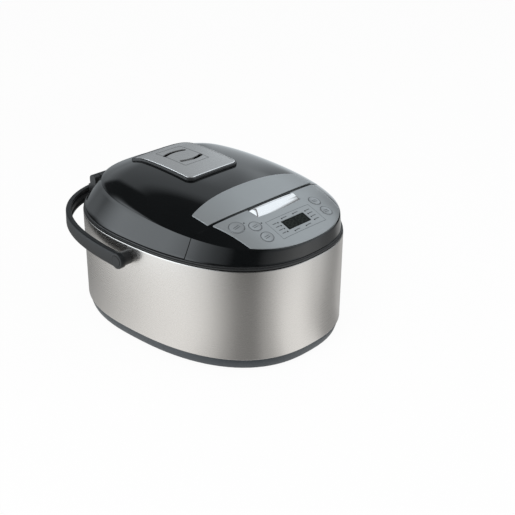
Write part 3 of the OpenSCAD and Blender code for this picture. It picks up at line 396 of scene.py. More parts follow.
material("steel_wall", (0.66, 0.64, 0.62), 0.05, 60, (0.25, 0.31), 6, 0.15, 0.00003, "hairlines_round",
         Metallic=1.0)
material("gloss_black", (0.0038, 0.0044, 0.0048), 0.15, 40, (0.06, 0.10), 9, Coat_Weight=0.3,
         Coat_Roughness=0.05)
material("satin_black", (0.02, 0.021, 0.022), 0.25, 900, (0.32, 0.45), 20, 0.2, 0.00006)
material("handle_black", (0.014, 0.0155, 0.017), 0.25, 1200, (0.36, 0.46), 25, 0.25, 0.00006,
         Specular_IOR_Level=0.32)
material("slate_base", (0.045, 0.055, 0.064), 0.15, 1100, (0.42, 0.55), 15, 0.2, 0.00006)
material("panel_grey", (0.302, 0.326, 0.34), 0.05, 1500, (0.3, 0.36), 18, 0.1, 0.00002, Metallic=0.35)
material("key_grey", (0.302, 0.326, 0.342), 0.05, 1500, (0.26, 0.34), 18, 0.1, 0.00002, Metallic=0.35)
material("vent_grey", (0.40, 0.412, 0.42), 0.03, 30, (0.24, 0.3), 14, 0.03, 0.00002, "hairlines_across",
         Metallic=0.45)
material("bright_chrome", (0.88, 0.89, 0.90), 0.02, 60, (0.07, 0.11), 8, Metallic=0.78)
material("plain_metal", (0.58, 0.58, 0.59), 0.08, 400, (0.22, 0.36), 30, 0.1, 0.00003, Metallic=1.0)
material("cast_metal", (0.55, 0.56, 0.58), 0.1, 500, (0.35, 0.5), 25, 0.25, 0.00006, Metallic=1.0)
material("pot_coat", (0.05, 0.05, 0.053), 0.3, 1400, (0.35, 0.5), 25, 0.3, 0.00006, Metallic=0.2)
material("dull_rubber", (0.015, 0.015, 0.015), 0.3, 900, (0.7, 0.85), 30, 0.4, 0.0001)
material("grey_plastic", (0.30, 0.31, 0.32), 0.1, 900, (0.4, 0.52), 20, 0.2, 0.00006)
material("pale_silicone", (0.62, 0.61, 0.58), 0.08, 500, (0.4, 0.55), 15, 0.1, 0.00006, Subsurface_Weight=0.1)
material("smoked_window", (0.009, 0.011, 0.0105), 0.1, 100, (0.3, 0.4), 10, Specular_IOR_Level=0.03)
material("lamp_window", (0.008, 0.008, 0.008), 0.2, 600, (0.3, 0.4), 10, Specular_IOR_Level=0.1)
material("circuit_board", (0.02, 0.11, 0.05), 0.25, 700, (0.35, 0.5), 60, 0.2, 0.00006)
material("board_part", (0.05, 0.055, 0.07), 0.3, 500, (0.35, 0.5), 90, 0.1, 0.00006)
material("white_ceramic", (0.70, 0.69, 0.66), 0.06, 700, (0.45, 0.6), 30, 0.1, 0.00006)
material("contact_brass", (0.62, 0.46, 0.2), 0.1, 500, (0.25, 0.4), 30, 0.1, 0.00003, Metallic=1.0)
material("faint_segment", (0.028, 0.034, 0.031), 0.1, 400, (0.35, 0.45), 20, Specular_IOR_Level=0.03)
# Dark print, and also the painted shade ring near the edge of each key cap.
material("print_and_gap_shade", (0.06, 0.065, 0.07), 0.1, 900, (0.45, 0.55), 30)
print(len(MATERIALS), "materials")

# %% [markdown]
# ## Frame nodes that stay as they are
# Inside the cooker the construction nodes already have the right shape: boards, heater, pot and screws.
# To model them again would only risk a second shape that does not fit the first. So they keep their meshes
# and take a finish by the record's material slot. The hinge pin is dark, because it shows beside the lid.

# %% Finishes for the frame's own nodes
SLOT_FINISH = {
    "steel": "steel_wall", "base_plastic": "slate_base", "rubber": "dull_rubber", "fastener": "plain_metal",
    "black_plastic": "satin_black", "gloss_black": "gloss_black", "panel_metal": "panel_grey",
    "key_metal": "key_grey", "vent_metal": "vent_grey", "display_glass": "smoked_window",
    "lamp": "lamp_window", "board": "circuit_board", "board_parts": "board_part",
    "white_plastic": "white_ceramic", "grey_plastic": "grey_plastic", "silicone": "pale_silicone",
    "aluminium": "cast_metal", "pot_coating": "pot_coat", "brass": "contact_brass",
    "handle_plastic": "handle_black", "chrome": "bright_chrome",
}
subparts = frame["record"]["subparts"]
for part in subparts:
    node = frame["nodes"][part["node"]]
    node.data.materials.clear()
    node.data.materials.append(MATERIALS[SLOT_FINISH[part["material_slot"]]])
frame["nodes"]["hinge_pin"].data.materials[0] = MATERIALS["satin_black"]
print("finished", len(subparts), "frame nodes")

# %% [markdown]
# ## Sensor spring
# The spring under the pot sensor is a coil of wire, and it shortens when the pot presses the sensor down. A
# round section is carried along a helix of three turns. A simulated spring would be slower and no truer
# over so short a travel.

# %% A coil of three turns
SPRING_R, SPRING_WIRE, SPRING_H, SPRING_FOOT, SPRING_TURNS = 6.2, 0.6, 5.8, 21.1, 3
around = np.linspace(0, 2 * np.pi, 10, endpoint=False)
turn = np.linspace(0, SPRING_TURNS, SPRING_TURNS * 28 + 1)[:, None]
angle = 2 * np.pi * turn
reach = SPRING_R + SPRING_WIRE * np.cos(around)
rise = (SPRING_H - 2 * SPRING_WIRE) * turn / SPRING_TURNS + SPRING_WIRE * (1 + np.sin(around))
rings = np.stack([reach * np.cos(angle), POT_Y + reach * np.sin(angle), SPRING_FOOT + rise], -1)
spring = stack("sensor_spring_coil", rings, start=rings[0].mean(0), end=rings[-1].mean(0))
finish_piece(spring, "plain_metal", "base", ["sensor_spring"])
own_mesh(spring)

# %% [markdown]
# ## Steel wall
# The wall is one bent sheet. A scaled cylinder would be too plain, since the front is fuller than the rear.
# So a profile of inset and height is carried round the plan outline: it curls in at the bottom, runs straight
# up and rolls over a bright lip at the top. The sheet is then thickened, and the inlet's opening is cut.

# %% Make the steel wall
AROUND = 288
ANGLES = -np.linspace(0, 360, AROUND, endpoint=False)


def carry(profile):
    """A profile of (inset, z) carried round the plan outline: one ring for each of its points."""
    return [np.column_stack([plan_xy(ANGLES, inset), np.full(AROUND, z)]) for inset, z in profile]


steel_profile = [(0.55, 139.0), (0.28, 138.9), (0.08, 138.6), (0.0, 138.2)]
steel_profile += [(0.0, z) for z in np.linspace(137, 20, 10)]
steel_profile += [(0.0, 19.2), (0.1, 18.6), (0.35, 18.2), (0.8, 18.02), (2.5, 18.0), (5.0, 18.0)]
steel = stack("steel_wall", carry(steel_profile))
thicken(steel, 0.9)
cut(steel, [prism(bar(-15.3, 15.3, 150, 170), 30.7, 53.3)])
finish_piece(steel, "steel_wall", "base", ["steel_shell"])

# %% [markdown]
# ## Band above the steel
# A black rim closes the top of the wall. From the side it shows two thin lines, where it is parted from the
# steel and where the lid rests on it. Its flat deck surrounds the pot, with a step that carries the pot's
# flange. The rings go over the outer edge, across the deck to the round opening, and back underneath.

# %% Make the band


def pot_ring(r, z):
    """A circle about the pot's centre, with a point in the direction of each point of the plan outline."""
    d = plan_xy(ANGLES, 0) - [0, POT_Y]
    d = d / np.linalg.norm(d, axis=1)[:, None]
    return np.column_stack([d * r + [0, POT_Y], np.full(AROUND, z)])


band_outer = carry([(4.0, 144.0), (1.9, 144.0), (1.45, 143.85), (1.25, 143.4), (1.25, 142.9), (1.7, 142.6),
                    (1.7, 142.2), (0.9, 141.9), (0.55, 141.5), (0.5, 140.4), (0.6, 139.9), (1.0, 139.6),
                    (1.6, 139.5), (1.6, 139.05), (6.0, 139.05)])
pot_side = [(116.0, 139.05), (115.5, 139.5), (115.5, 141.6), (115.9, 142.0), (119.8, 142.0), (120.0, 142.2),
            (120.0, 143.6), (120.4, 144.0)]
band_rings = [pot_ring(r, z) for r, z in pot_side]
band = stack("rim_band", band_rings + band_outer, join=True)
finish_piece(band, "satin_black", "base", ["rim_collar"])

# %% [markdown]
# ## Skirt of the base
# Below the steel the dark base draws in towards the feet. A thin closed skin carries that curve over the
# construction model's straight wall.

# %% Make the base skirt
skirt_out = [(1.3, 17.9), (1.45, 16.5), (1.6, 15.0), (2.3, 12.0), (3.1, 9.0), (4.0, 6.4), (4.7, 4.9),
             (5.3, 4.2), (6.2, 4.0)]
skirt_in = [(7.2, 4.0), (7.2, 4.6), (6.6, 6.0), (5.6, 9.0), (5.2, 12.0), (5.0, 15.0), (5.0, 17.9)]
skirt = stack("base_skirt", carry(skirt_out + skirt_in), join=True)
finish_piece(skirt, "slate_base", "base")

# %% [markdown]
# ## Lid and front housing
# Both are thin shells cut from the same body by one curved split. A loop of points runs round each shell:
# along the side wall, then back along the split. Rings of this loop climb the wall, turn over a small edge
# radius and shrink across the dome, so the two shells share one surface and their edges meet evenly.

# %% Loops round the lid and the front housing
LID_INSET = 2.7
GAP = 0.9
LID_POINTS, HOUSING_POINTS, SPLIT_POINTS = 150, 110, 60


def wall_xy(a, w, t):
    """A point of the side wall: w = 0 at the band and 1 at the edge line, drawn in by t."""
    return plan_xy(a, LID_INSET + t) * (1 - w) + edge_xy(a, t) * w


def corner_angle(w, t, shift):
    """The plan angle where the wall meets the split, found by halving an interval."""
    lo, hi = 91.0, 179.0
    for _ in range(30):
        mid = (lo + hi) / 2
        x, y = wall_xy(mid, w, t)
        lo, hi = (mid, hi) if y > split_at(x) + shift else (lo, mid)
    return mid


def even(n):
    """Numbers from -1 to 1, closer together towards the ends: sign(u) * (1 - (1 - |u|)^1.6)."""
    u = np.linspace(-1, 1, n)
    return np.sign(u) * (1 - (1 - np.abs(u)) ** 1.6)


def split_loop(w, t, lid):
    """Counter-clockwise round the lid or the housing, from corner to corner, and back along the split."""
    shift = (GAP / 2 + t) * (1 if lid else -1)
    ac = corner_angle(w, t, shift)
    a = ac * even(LID_POINTS)[::-1] if lid else -180 - (180 - ac) * even(HOUSING_POINTS)
    wall = wall_xy(a, w, t)
    x = np.linspace(wall[-1, 0], wall[0, 0], SPLIT_POINTS + 2)[1:-1]
    return np.vstack([wall, np.column_stack([x, split_at(x) + shift])])


print("front corner of the lid", split_loop(0, 0, True)[0].round(1))

# %% Rings of a shell
SKIN, SHELL_EDGE, SHELL_ROWS = 2.5, 0.7, 34


def shell(name, lid, middle_y, foot):
    """Down from the crown: the dome, a small edge radius and the wall, then back up inside the skin."""
    centre = np.array([0.0, middle_y])
    rim, rim_in = split_loop(1, SHELL_EDGE, lid), split_loop(1, SKIN, lid)

    def ring(w, t, z):
        p = split_loop(w, t, lid)
        return np.column_stack([p, np.broadcast_to(z, len(p))])

    grow = 1 - np.linspace(1, 0, SHELL_ROWS + 1)[1:] ** 2.2
    rings = [on_top(centre + (rim - centre) * q) for q in grow[1:]]
    top = rings[-1][:, 2]
    for t, drop in ((0.45, 0.12), (0.12, 0.45), (0.0, 1.0)):
        rings.append(ring(1, SHELL_EDGE * t, top - drop * SHELL_EDGE - 0.1))
    edge_low = rings[-1][:, 2]
    for w in (0.86, 0.7, 0.5, 0.3, 0.14, 0.03):
        rings.append(ring(w, 0, foot + (edge_low - foot) * w))
    rings += [ring(0, 0, foot + 0.5), ring(0, 0.4, foot), ring(0, SKIN, foot)]
    for q in (1.0, 0.96, 0.88, 0.75, 0.55, 0.3):
        rings.append(on_top(centre + (rim_in - centre) * q, -SKIN))
    crown, under = (on_top(centre[None], dz)[0] for dz in (0.0, -SKIN))
    return stack(name, rings, start=crown, end=under)


LATCH_HALF, HINGE_HALF = 12, 57.2
lid = shell("lid_dome", True, 20.0, BAND_TOP + 0.6)
vent_hole = prism(rounded(76, 104, 5, VENT_Y), 160, 230)
hinge_notch = prism(bar(-HINGE_HALF, HINGE_HALF, 124.8, 175), 140, 161.5)
latch_notch = prism(bar(-LATCH_HALF, LATCH_HALF, SPLIT_Y - 4, SPLIT_Y + 5), 140, 179)
cut(lid, [vent_hole, hinge_notch, latch_notch])
finish_piece(lid, "gloss_black", "lid", ["lid_shell"])

# %% Front housing shell
# Each key: x, y and radius.
KEY_R, KEY_X = 8.2, 54
KEYS = {"key_large": (-73.4, -134.6, 9.8)}
for side_name, sign in (("left", -1), ("right", 1)):
    for row, y in (("upper", -146.5), ("lower", -166)):
        KEYS["key_" + side_name + "_" + row] = (sign * KEY_X, y, KEY_R)
DISPLAY_Y = -164.0
BUTTON_HALF = 38.3


def button_front(x):
    """The button's front edge bows forward: it runs back by 2.4 mm at the ends, as the square of x."""
    return SPLIT_Y - GAP - 20.4 + 2.4 * (x / BUTTON_HALF) ** 2


def button_outline(grow):
    """The opening for the release button: its front edge bows forward, its rear edge follows the split."""
    x = (BUTTON_HALF + grow) * np.linspace(-1, 1, 25)
    return between(x, button_front(x) - grow, split_at(x) - 2.2 + grow)


housing = shell("front_housing", False, -153.0, BAND_TOP)
button_hole = prism(button_outline(0.6), 160, 215)
display_hole = prism(bar(-36.8, 36.8, -178, -152), 152, 215)
latch_notch = prism(bar(-LATCH_HALF, LATCH_HALF, SPLIT_Y - 8, SPLIT_Y + 1), 152, 179)
key_holes = [tilted_prism(x, y, r + 0.45, -8, 6) for x, y, r in KEYS.values()]
cut(housing, [button_hole, display_hole, latch_notch] + key_holes)
finish_piece(housing, "gloss_black", "base", ["front_fascia"])

# %% [markdown]
# ## Control panel and lid trim
# Two thin plates follow the dome half a millimetre above it. Their outlines are given in plan and
# every ring takes its height from the dome. A small radius runs round the edge, which catches the light.

# %% Plates that follow the top
LIFT, PLATE = 0.5, 1.0


def inward(loop, t):
    """Each point moved in by t, square to the outline."""
    return loop + t * to_left(np.roll(loop, -1, 0) - np.roll(loop, 1, 0))


def plate(name, loop, middle_y, lo, hi, edge=0.35, rows=26, sag=np.zeros_like):
    """Rings from the middle out, round the edge and under: two heights over the dome, less a sag along y."""
    centre = np.array([0.0, middle_y])

    def at(p, dz):
        return on_top(p, dz) - np.outer(sag(p[:, 1]), [0, 0, 1])

    rim = inward(loop, edge)
    over = [at(centre + (rim - centre) * q, hi) for q in np.linspace(0, 1, rows + 1)[1:]]
    bend = [at(inward(loop, edge * 0.3), hi - edge * 0.3), at(loop, hi - edge), at(loop, lo)]
    below = [at(centre + (rim - centre) * q, lo) for q in np.linspace(1, 0, rows // 2 + 1)[:-1]]
    crown, under = (at(centre[None], dz)[0] for dz in (hi, lo))
    return stack(name, over + bend + below, start=crown, end=under)


def spread(loop, n):
    """The outline with n points, evenly spaced along its length."""
    closed = np.vstack([loop, loop[:1]])
    s = np.concatenate([[0], np.cumsum(np.linalg.norm(np.diff(closed, axis=0), axis=1))])
    at = np.linspace(0, s[-1], n, endpoint=False)
    return np.column_stack([np.interp(at, s, closed[:, 0]), np.interp(at, s, closed[:, 1])])


front_edge = edge_xy(np.linspace(90, 180, 400), 1.2)


def panel_front(x):
    """The panel's front: the dome's edge line, or the straight side where that is further in."""
    near = np.interp(np.abs(x), front_edge[::-1, 0], front_edge[::-1, 1])
    side = split_at(PANEL_HALF) - GAP - 2 - (PANEL_HALF - np.abs(x)) * 51 / 8.7
    return np.maximum(near, side)


xs = -PANEL_HALF * np.cos(np.linspace(0, np.pi, 160))
xb = PANEL_HALF * np.linspace(1, -1, 80)
panel_outline = np.vstack([np.column_stack([xs, panel_front(xs)]), np.column_stack([xb, split_at(xb) - 2.2])])
panel = plate("panel_face", spread(panel_outline, 300), -148.0, LIFT, LIFT + PLATE)
LAMPS = [(sx * 24.8, DISPLAY_Y + 5.35 * (1.5 - i)) for sx in (-1, 1) for i in range(4)]
LAMPS += [(x, DISPLAY_Y + sy * 11.1) for x in (-14.4, 6) for sy in (-1, 1)]
button_hole = prism(button_outline(0.6), 150, 230)
window_hole = prism(rounded(40.6, 14.8, 0.8, DISPLAY_Y), 150, 230)
key_holes = [tilted_prism(x, y, r + 0.35, -6, 6) for x, y, r in KEYS.values()]
cut(panel, [button_hole, window_hole] + key_holes)
finish_piece(panel, "panel_grey", "base", ["control_panel"], crease=40)

# %% Lid trim
xt = 94.0 * np.linspace(-1, 1, 90)
trim_outline = between(xt, split_at(xt) + 2.3, SPLIT_Y + 49.1 - xt**2 / 758)
trim = plate("lid_trim_plate", spread(trim_outline, 300), SPLIT_Y + 25, LIFT, LIFT + PLATE)
finish_piece(trim, "panel_grey", "lid", ["lid_trim"], crease=40)

# %% [markdown]
# ## Keys, display, printed marks and painted shade round the keys
# A key is a turned cap: a profile spun about the line square to the panel at its place. The display is a thin
# smoked window. The frame round it and the dashes beside the lamps are printed, so they are raised only a
# few hundredths of a millimetre. A dark ring near the edge of each key cap is painted shade of the gap round
# it.

# %% Key caps
CAP = LIFT + PLATE + 0.3
for name, (x, y, r) in KEYS.items():
    crown = [(0, -0.25), (r * 0.4, -0.22), (r * 0.75, -0.12), (r - 1.2, -0.02), (r - 0.7, 0)]
    side = [(r - 0.35, -0.06), (r - 0.1, -0.25), (r, -0.5), (r, -3.2)]
    stem = [(2.0, -3.2), (2.0, -6.0), (0, -6.0)]
    profile = [(radius, CAP + drop) for radius, drop in crown + side + stem]
    cap = turned(name + "_face", top_point(x, y), top_normal(x, y), profile)
    finish_piece(cap, "key_grey", name + "_cap", [name])

# %% Display window, printed marks and painted shade round the keys


def ribbon(p, width, dz=LIFT + PLATE + 0.02):
    """A thin closed strip: both sides of a line at a height over the dome, and the same 0.05 mm below."""
    n = to_left(np.gradient(p, axis=0)) * width / 2
    low = dz - 0.05
    return np.stack([on_top(p - n, dz), on_top(p + n, dz), on_top(p + n, low), on_top(p - n, low)], 1)


def strips(name, lines):
    """Many ribbons in one mesh, each with its two ends closed."""
    verts, quads, base = [], [], 0
    for line in lines:
        r = ribbon(*line)
        m = len(r)
        f = ring_faces(m, 4) + base
        ends = np.array([[3, 2, 1, 0], [4 * m - 4, 4 * m - 3, 4 * m - 2, 4 * m - 1]]) + base
        verts.append(r.reshape(-1, 3))
        quads += [f, ends]
        base += 4 * m
    return make_object(name, np.vstack(verts), np.vstack(quads))


def straight(x0, y0, x1, y1, n):
    """Points along a straight line."""
    return np.column_stack([np.linspace(x0, x1, n), np.linspace(y0, y1, n)])


frame_corners = bar(-38.8, 38.8, DISPLAY_Y - 15, DISPLAY_Y + 15)
marks = [(straight(*a, *b, 14 if k % 2 else 40), 0.5)
         for k, (a, b) in enumerate(zip(frame_corners, np.roll(frame_corners, -1, 0)))]
for k, (x, y) in enumerate(LAMPS):
    side, far = (np.sign(x), 8.5) if k < 8 else (1, 9.0)
    marks.append((straight(x + side * 2.0, y, x + side * far, y, 6), 1.1))
printed = strips("panel_marks", marks)
finish_piece(printed, "print_and_gap_shade", "base")


def on_cap(u, v, x, y, lift):
    """Plane points laid on a key's cap: centre + u * e1 + v * e2 + lift * normal.

    They come out as plan points and heights over the dome.
    """
    n = top_normal(x, y)
    e1 = np.array([n[2], 0, -n[0]]) / math.hypot(n[0], n[2])
    p = top_point(x, y) + n * lift + np.outer(u, e1) + np.outer(v, np.cross(n, e1))
    return p[:, :2], p[:, 2] - top_z(p[:, 0], p[:, 1])


for name, (x, y, r) in KEYS.items():
    a = np.linspace(0, 2 * np.pi, 61)
    # The dark ring near the cap's edge is painted shade of the gap round the key; the two dashes are print.
    ring, flat = on_cap((r - 0.6) * np.cos(a), (r - 0.6) * np.sin(a), x, y, CAP + 0.03)
    lines = [(ring, 0.45, flat)]
    for v in (-1.3, 1.3):
        dash, flat = on_cap(np.linspace(-0.45, 0.45, 8) * r, np.full(8, v), x, y, CAP - 0.14)
        lines.append((dash, 0.7, flat))
    finish_piece(strips(name + "_marks", lines), "print_and_gap_shade", name + "_cap")

display_outline = rounded(40, 14.2, 0.6, DISPLAY_Y)
window = plate("display_glass", display_outline, DISPLAY_Y, -0.6, LIFT + PLATE - 0.15, edge=0.2, rows=10)
finish_piece(window, "smoked_window", "base", ["display_window"])

SEGMENT_W, SEGMENT_LIFT = 0.9, LIFT + PLATE - 0.12
segments = []
for x in (-13.5, -5.5, 5.5, 13.5):
    level_lines = [(x - 2.1, y, x + 2.1, y) for y in (-4.6, 0.0, 4.6)]
    upright_lines = [(x + sx, y, x + sx, y + 3.4) for sx in (-2.8, 2.8) for y in (-4.0, 0.6)]
    for x0, y0, x1, y1 in level_lines + upright_lines:
        line = straight(x0, DISPLAY_Y + y0, x1, DISPLAY_Y + y1, 5)
        segments.append((line, SEGMENT_W, SEGMENT_LIFT))
finish_piece(strips("display_segments", segments), "faint_segment", "base")

# %% [markdown]
# ## Chrome release button
# The button is a soft pillow with slanted ends. Across its width the height follows a parabola, and the ends
# are cut by two leaning planes. The two blend smoothly where they meet, so the ends show as soft facets.
# A bevelled box would show flat bands where a polished button shows one running highlight.

# %% Make the button


def button_surface():
    """Over the dome stands (5.4 + 1.5 * (1 - (x/half)^2)) * (1 - v^2), with v from -1 in front to 1 behind.

    The ends are cut by planes of slope 1.6, and the lower of the two is taken as a soft minimum.
    """
    half = BUTTON_HALF
    x = half * np.sin(np.linspace(-1, 1, 61) * np.pi / 2)
    front = button_front(x)
    back = split_at(x) - 3.2 - 1.6 * (0.5 + 0.5 * x / half)
    edge = spread(between(x, front, back), 200)
    axis_x = np.clip(edge[:, 0], -half + 7, half - 7)
    core = np.column_stack([axis_x, (np.interp(axis_x, x, front) + np.interp(axis_x, x, back)) / 2])
    rings = []
    for q in np.sin(np.linspace(0.03, 1, 70) * np.pi / 2):
        p = core + (edge - core) * q
        lo, hi = np.interp(p[:, 0], x, front), np.interp(p[:, 0], x, back)
        v = np.clip((2 * p[:, 1] - lo - hi) / (hi - lo), -1, 1)
        arc = (5.4 + 1.5 * (1 - (p[:, 0] / half) ** 2)) * (1 - v**2)
        lean = (half - np.abs(p[:, 0])) * 1.6 + 0.05
        rise = -np.log(np.exp(-2.5 * arc) + np.exp(-2.5 * lean)) / 2.5
        rings.append(on_top(p, rise) + [0, 0, 0.5])
    rings.append(on_top(edge, -3.0))
    return rings


rings = button_surface()
centre = rings[0].mean(0)
button = stack("button_face", rings, start=centre, end=centre - [0, 0, 6.6])
finish_piece(button, "bright_chrome", "button", ["release_button"])

# %% [markdown]
# ## Steam vent
# The vent is a plate on a black carrier, and it lifts out of the lid. The plate has a rolled edge, and two
# curved slots let the steam out.

# %% Vent carrier and plate
VENT_W, VENT_L = 85, 113
SLOT_R, SLOT_LEN, SLOT_HALF_W, SLOT_SHIFT = 44, 34, 2.9, 2.5


def vent_outline(grow):
    """The vent's rounded rectangle, grown by a distance."""
    return rounded(VENT_W + 2 * grow, VENT_L + 2 * grow, 7.5 + grow, VENT_Y, per=12, side=22)


def vent_sag(y):
    """The plate sinks towards the rear, by 1.2 mm times the square of the share of its length."""
    return 1.2 * np.maximum((y - VENT_Y) / VENT_L + 0.5, 0) ** 2


carrier = plate("vent_carrier", vent_outline(2.6), VENT_Y, 0.5, 3.3, edge=0.7)
cut(carrier, [prism(vent_outline(-1.5), 180, 230)])
skirt_part = plate("vent_skirt", vent_outline(-4.8), VENT_Y, -9.0, 0.9, edge=0.5)
cut(skirt_part, [prism(rounded(71.4, 99.4, 3, VENT_Y), 150, 230)])
finish_piece(carrier, "satin_black", "vent", ["vent_housing"])
finish_piece(skirt_part, "satin_black", "vent")


def slot_outline(sign):
    """An arc of 34 mm with round ends, on a circle of radius 44, bowed away from the vent's middle."""
    half = math.asin(SLOT_LEN / 2 / SLOT_R)
    a = np.linspace(-half, half, 24)
    cap = np.linspace(0, np.pi, 9)[1:-1]

    def arc(r, angles):
        return r * np.column_stack([np.sin(angles), np.cos(angles)])

    end = SLOT_R * np.array([math.sin(half), math.cos(half)])
    p = np.vstack([arc(SLOT_R + SLOT_HALF_W, a), end + arc(SLOT_HALF_W, half + cap),
                   arc(SLOT_R - SLOT_HALF_W, a)[::-1], end * [-1, 1] + arc(SLOT_HALF_W, -half + np.pi + cap)])
    p = p * [1, sign] + [-SLOT_SHIFT * sign, VENT_Y + 1.75 + sign * (13.75 - SLOT_R + 3.2)]
    return p[::-1] if sign > 0 else p


vent = plate("vent_cover", vent_outline(0), VENT_Y, 2.9, 4.06, edge=0.9, rows=40, sag=vent_sag)
cut(vent, [prism(slot_outline(s), 190, 225) for s in (-1, 1)])
finish_piece(vent, "vent_grey", "vent", ["vent_plate"], crease=40)

# %% Rolled edge, and painted shade along the score lines
ROLL_R, ROLL_LIFT, GROOVE_SHADE_W, GROOVE_SHADE_LIFT = 0.75, 3.65, 0.6, 4.15
rim = spread(vent_outline(-0.5), 240)
side = to_left(np.roll(rim, 1, 0) - np.roll(rim, -1, 0))
crest = top_z(rim[:, 0], rim[:, 1]) + ROLL_LIFT - vent_sag(rim[:, 1])
rings = [np.column_stack([rim + side * ROLL_R * math.cos(t), crest + ROLL_R * math.sin(t)])
         for t in np.linspace(0, 2 * np.pi, 12, endpoint=False)]
roll_edge = stack("vent_rolled_edge", rings, join=True)
finish_piece(roll_edge, "bright_chrome", "vent")
# The score lines are not cut: thin black strips on the plate are painted shade of the scored grooves.
corners = bar(-21, 21, 8, 65.5)
groove_shade = []
for a, b in zip(corners, np.roll(corners, -1, 0)):
    pts = straight(*a, *b, 20)
    groove_shade.append((pts, GROOVE_SHADE_W, GROOVE_SHADE_LIFT - vent_sag(pts[:, 1])))
finish_piece(strips("vent_groove_shade", groove_shade), "satin_black", "vent")

# %% [markdown]
# ## Carry handle
# The handle is a flat bar bent to a rounded U and folded back round the body. Its section has soft edges and
# a shallow channel on the inner side. It ends in round eyes over the pivots.

# %% Make the handle
BAIL_HALF, BAIL_LEN, BAIL_T, BAIL_H = 152.0, 189.0, 7.0, 20.0
PIVOT = np.array([0.0, -8.0, 122.0])
TILT = math.radians(2.5)


def bail_line(s):
    """Half a superellipse of power 2.6: x = half * cos^(2/n), y = length * sin^(2/n)."""
    e = 2 / 2.6
    return np.column_stack([BAIL_HALF * signed_power(np.cos(s), e), BAIL_LEN * np.abs(np.sin(s)) ** e])


def handle_section():
    """The bar's section, counter-clockwise: soft outer edges, and a channel in the inner face."""
    t, h = BAIL_T / 2, BAIL_H / 2
    a = np.radians(np.linspace(0, 90, 6))
    outer_top = np.column_stack([t - 2.6 + 2.6 * np.cos(a), h - 2.6 + 2.6 * np.sin(a)])
    inner_top = np.column_stack([-t + 1.0 - 1.0 * np.sin(a), h - 1.0 + 1.0 * np.cos(a)])
    channel = [-t, h] + np.array([[0, -3.0], [1.2, -3.4], [1.6, -5.5], [1.2, -7.6], [0, -8.0]])
    top = np.vstack([outer_top, inner_top, channel])
    bottom = (top * [1, -1])[::-1]
    return np.vstack([top, bottom])


section = handle_section()
u = np.linspace(0, 1, 141)
u = u + 0.03 * np.sin(2 * np.pi * u)
line = bail_line(np.pi * u)
outward = -to_left(np.gradient(bail_line(np.pi * np.clip(u, 1e-4, 1 - 1e-4)), axis=0))
flat_rings = line[:, None, :] + outward[:, None, :] * section[None, :, :1]
upright = np.broadcast_to(section[None, :, 1:], (len(u), len(section), 1))
lean_back = np.array([[1, 0, 0], [0, math.cos(TILT), math.sin(TILT)], [0, -math.sin(TILT), math.cos(TILT)]])
rings = np.concatenate([flat_rings, upright], -1) @ lean_back + PIVOT
handle = stack("handle_bar", rings, start=rings[0].mean(0), end=rings[-1].mean(0))
finish_piece(handle, "handle_black", "handle", ["carry_handle"], crease=50)

for sign, side_name in ((-1, "left"), (1, "right")):
    t = BAIL_T / 2 + 0.4
    disc = [(0, t - 0.9), (6.6, t - 0.9), (7.0, t - 0.7), (7.4, t - 0.1), (7.8, t), (9.4, t), (10.1, t - 0.4),
            (10.4, t - 1.2), (10.4, -t + 0.8), (10.0, -t), (4.1, -t), (4.1, 0.0), (0, 0.0)]
    eye = turned("handle_eye_" + side_name, PIVOT + [sign * BAIL_HALF, 0, 0], [sign, 0, 0], disc)
    finish_piece(eye, "handle_black", "handle")

# %% [markdown]
# ## Floor, light and camera
# The cooker stands on a plain pale floor in soft studio light. A large soft lamp comes from above and to the
# left, the world fills the shadows, and dark cards that only reflections see give the steel its long bands.

# %% Floor and world


def seen_ray(tree):
    """1 for a camera, glossy or transmission ray and 0 for the rest: the largest of the three."""
    path = add(tree, "ShaderNodeLightPath")
    pair = add(tree, "ShaderNodeMath", operation="MAXIMUM")
    seen = add(tree, "ShaderNodeMath", operation="MAXIMUM")
    wire(tree, (path, "Is Camera Ray", pair, 0), (path, "Is Glossy Ray", pair, 1), (pair, 0, seen, 0),
         (path, "Is Transmission Ray", seen, 1))
    return seen


# The world is white to the camera and to reflections, and lights everything else at less than half of that.
FLOOR_HALF, FLOOR_Z, FLOOR_GLOW, AIR_LIGHT = 6000, -0.2, 0.95, 0.48
corners = [[*corner, FLOOR_Z] for corner in bar(-FLOOR_HALF, FLOOR_HALF, -FLOOR_HALF, FLOOR_HALF)]
floor = make_object("floor", corners, np.array([[0, 1, 2, 3]]))
floor_paint, tree = new_material("pale_floor")
paint = tree.nodes["Principled BSDF"]
paint.inputs["Base Color"].default_value = (0.88, 0.88, 0.88, 1)
paint.inputs["Roughness"].default_value = 0.7
glow = add(tree, "ShaderNodeEmission", {"Strength": 1.0})
share = add(tree, "ShaderNodeMath", {1: FLOOR_GLOW}, operation="MULTIPLY")
mixed = add(tree, "ShaderNodeMixShader")
wire(tree, (seen_ray(tree), 0, share, 0), (share, 0, mixed, 0), (paint, 0, mixed, 1), (glow, 0, mixed, 2),
     (mixed, 0, tree.nodes["Material Output"], 0))
floor.data.materials.append(floor_paint)

world = bpy.data.worlds.new("studio")
bpy.context.scene.world = world
world.use_nodes = True
tree = world.node_tree
tree.nodes.clear()
strength = add(tree, "ShaderNodeMapRange", {"To Min": AIR_LIGHT, "To Max": 1.0})
air = add(tree, "ShaderNodeBackground", {"Color": (1, 1, 1, 1)})
wire(tree, (seen_ray(tree), 0, strength, "Value"), (strength, "Result", air, "Strength"),
     (air, 0, add(tree, "ShaderNodeOutputWorld"), 0))
print("floor and world ready")

# %% [markdown]
# ## Light tent
# Polished things show whatever stands round them, so they stand in a tent of white cloth with grey flags.
# This tent is a bowl round the cooker that only reflections see. Pale and grey cards lie round its foot, and
# its cloth is grey with a few soft windows, so the steel shows upright bands. Lamps alone leave it flat.

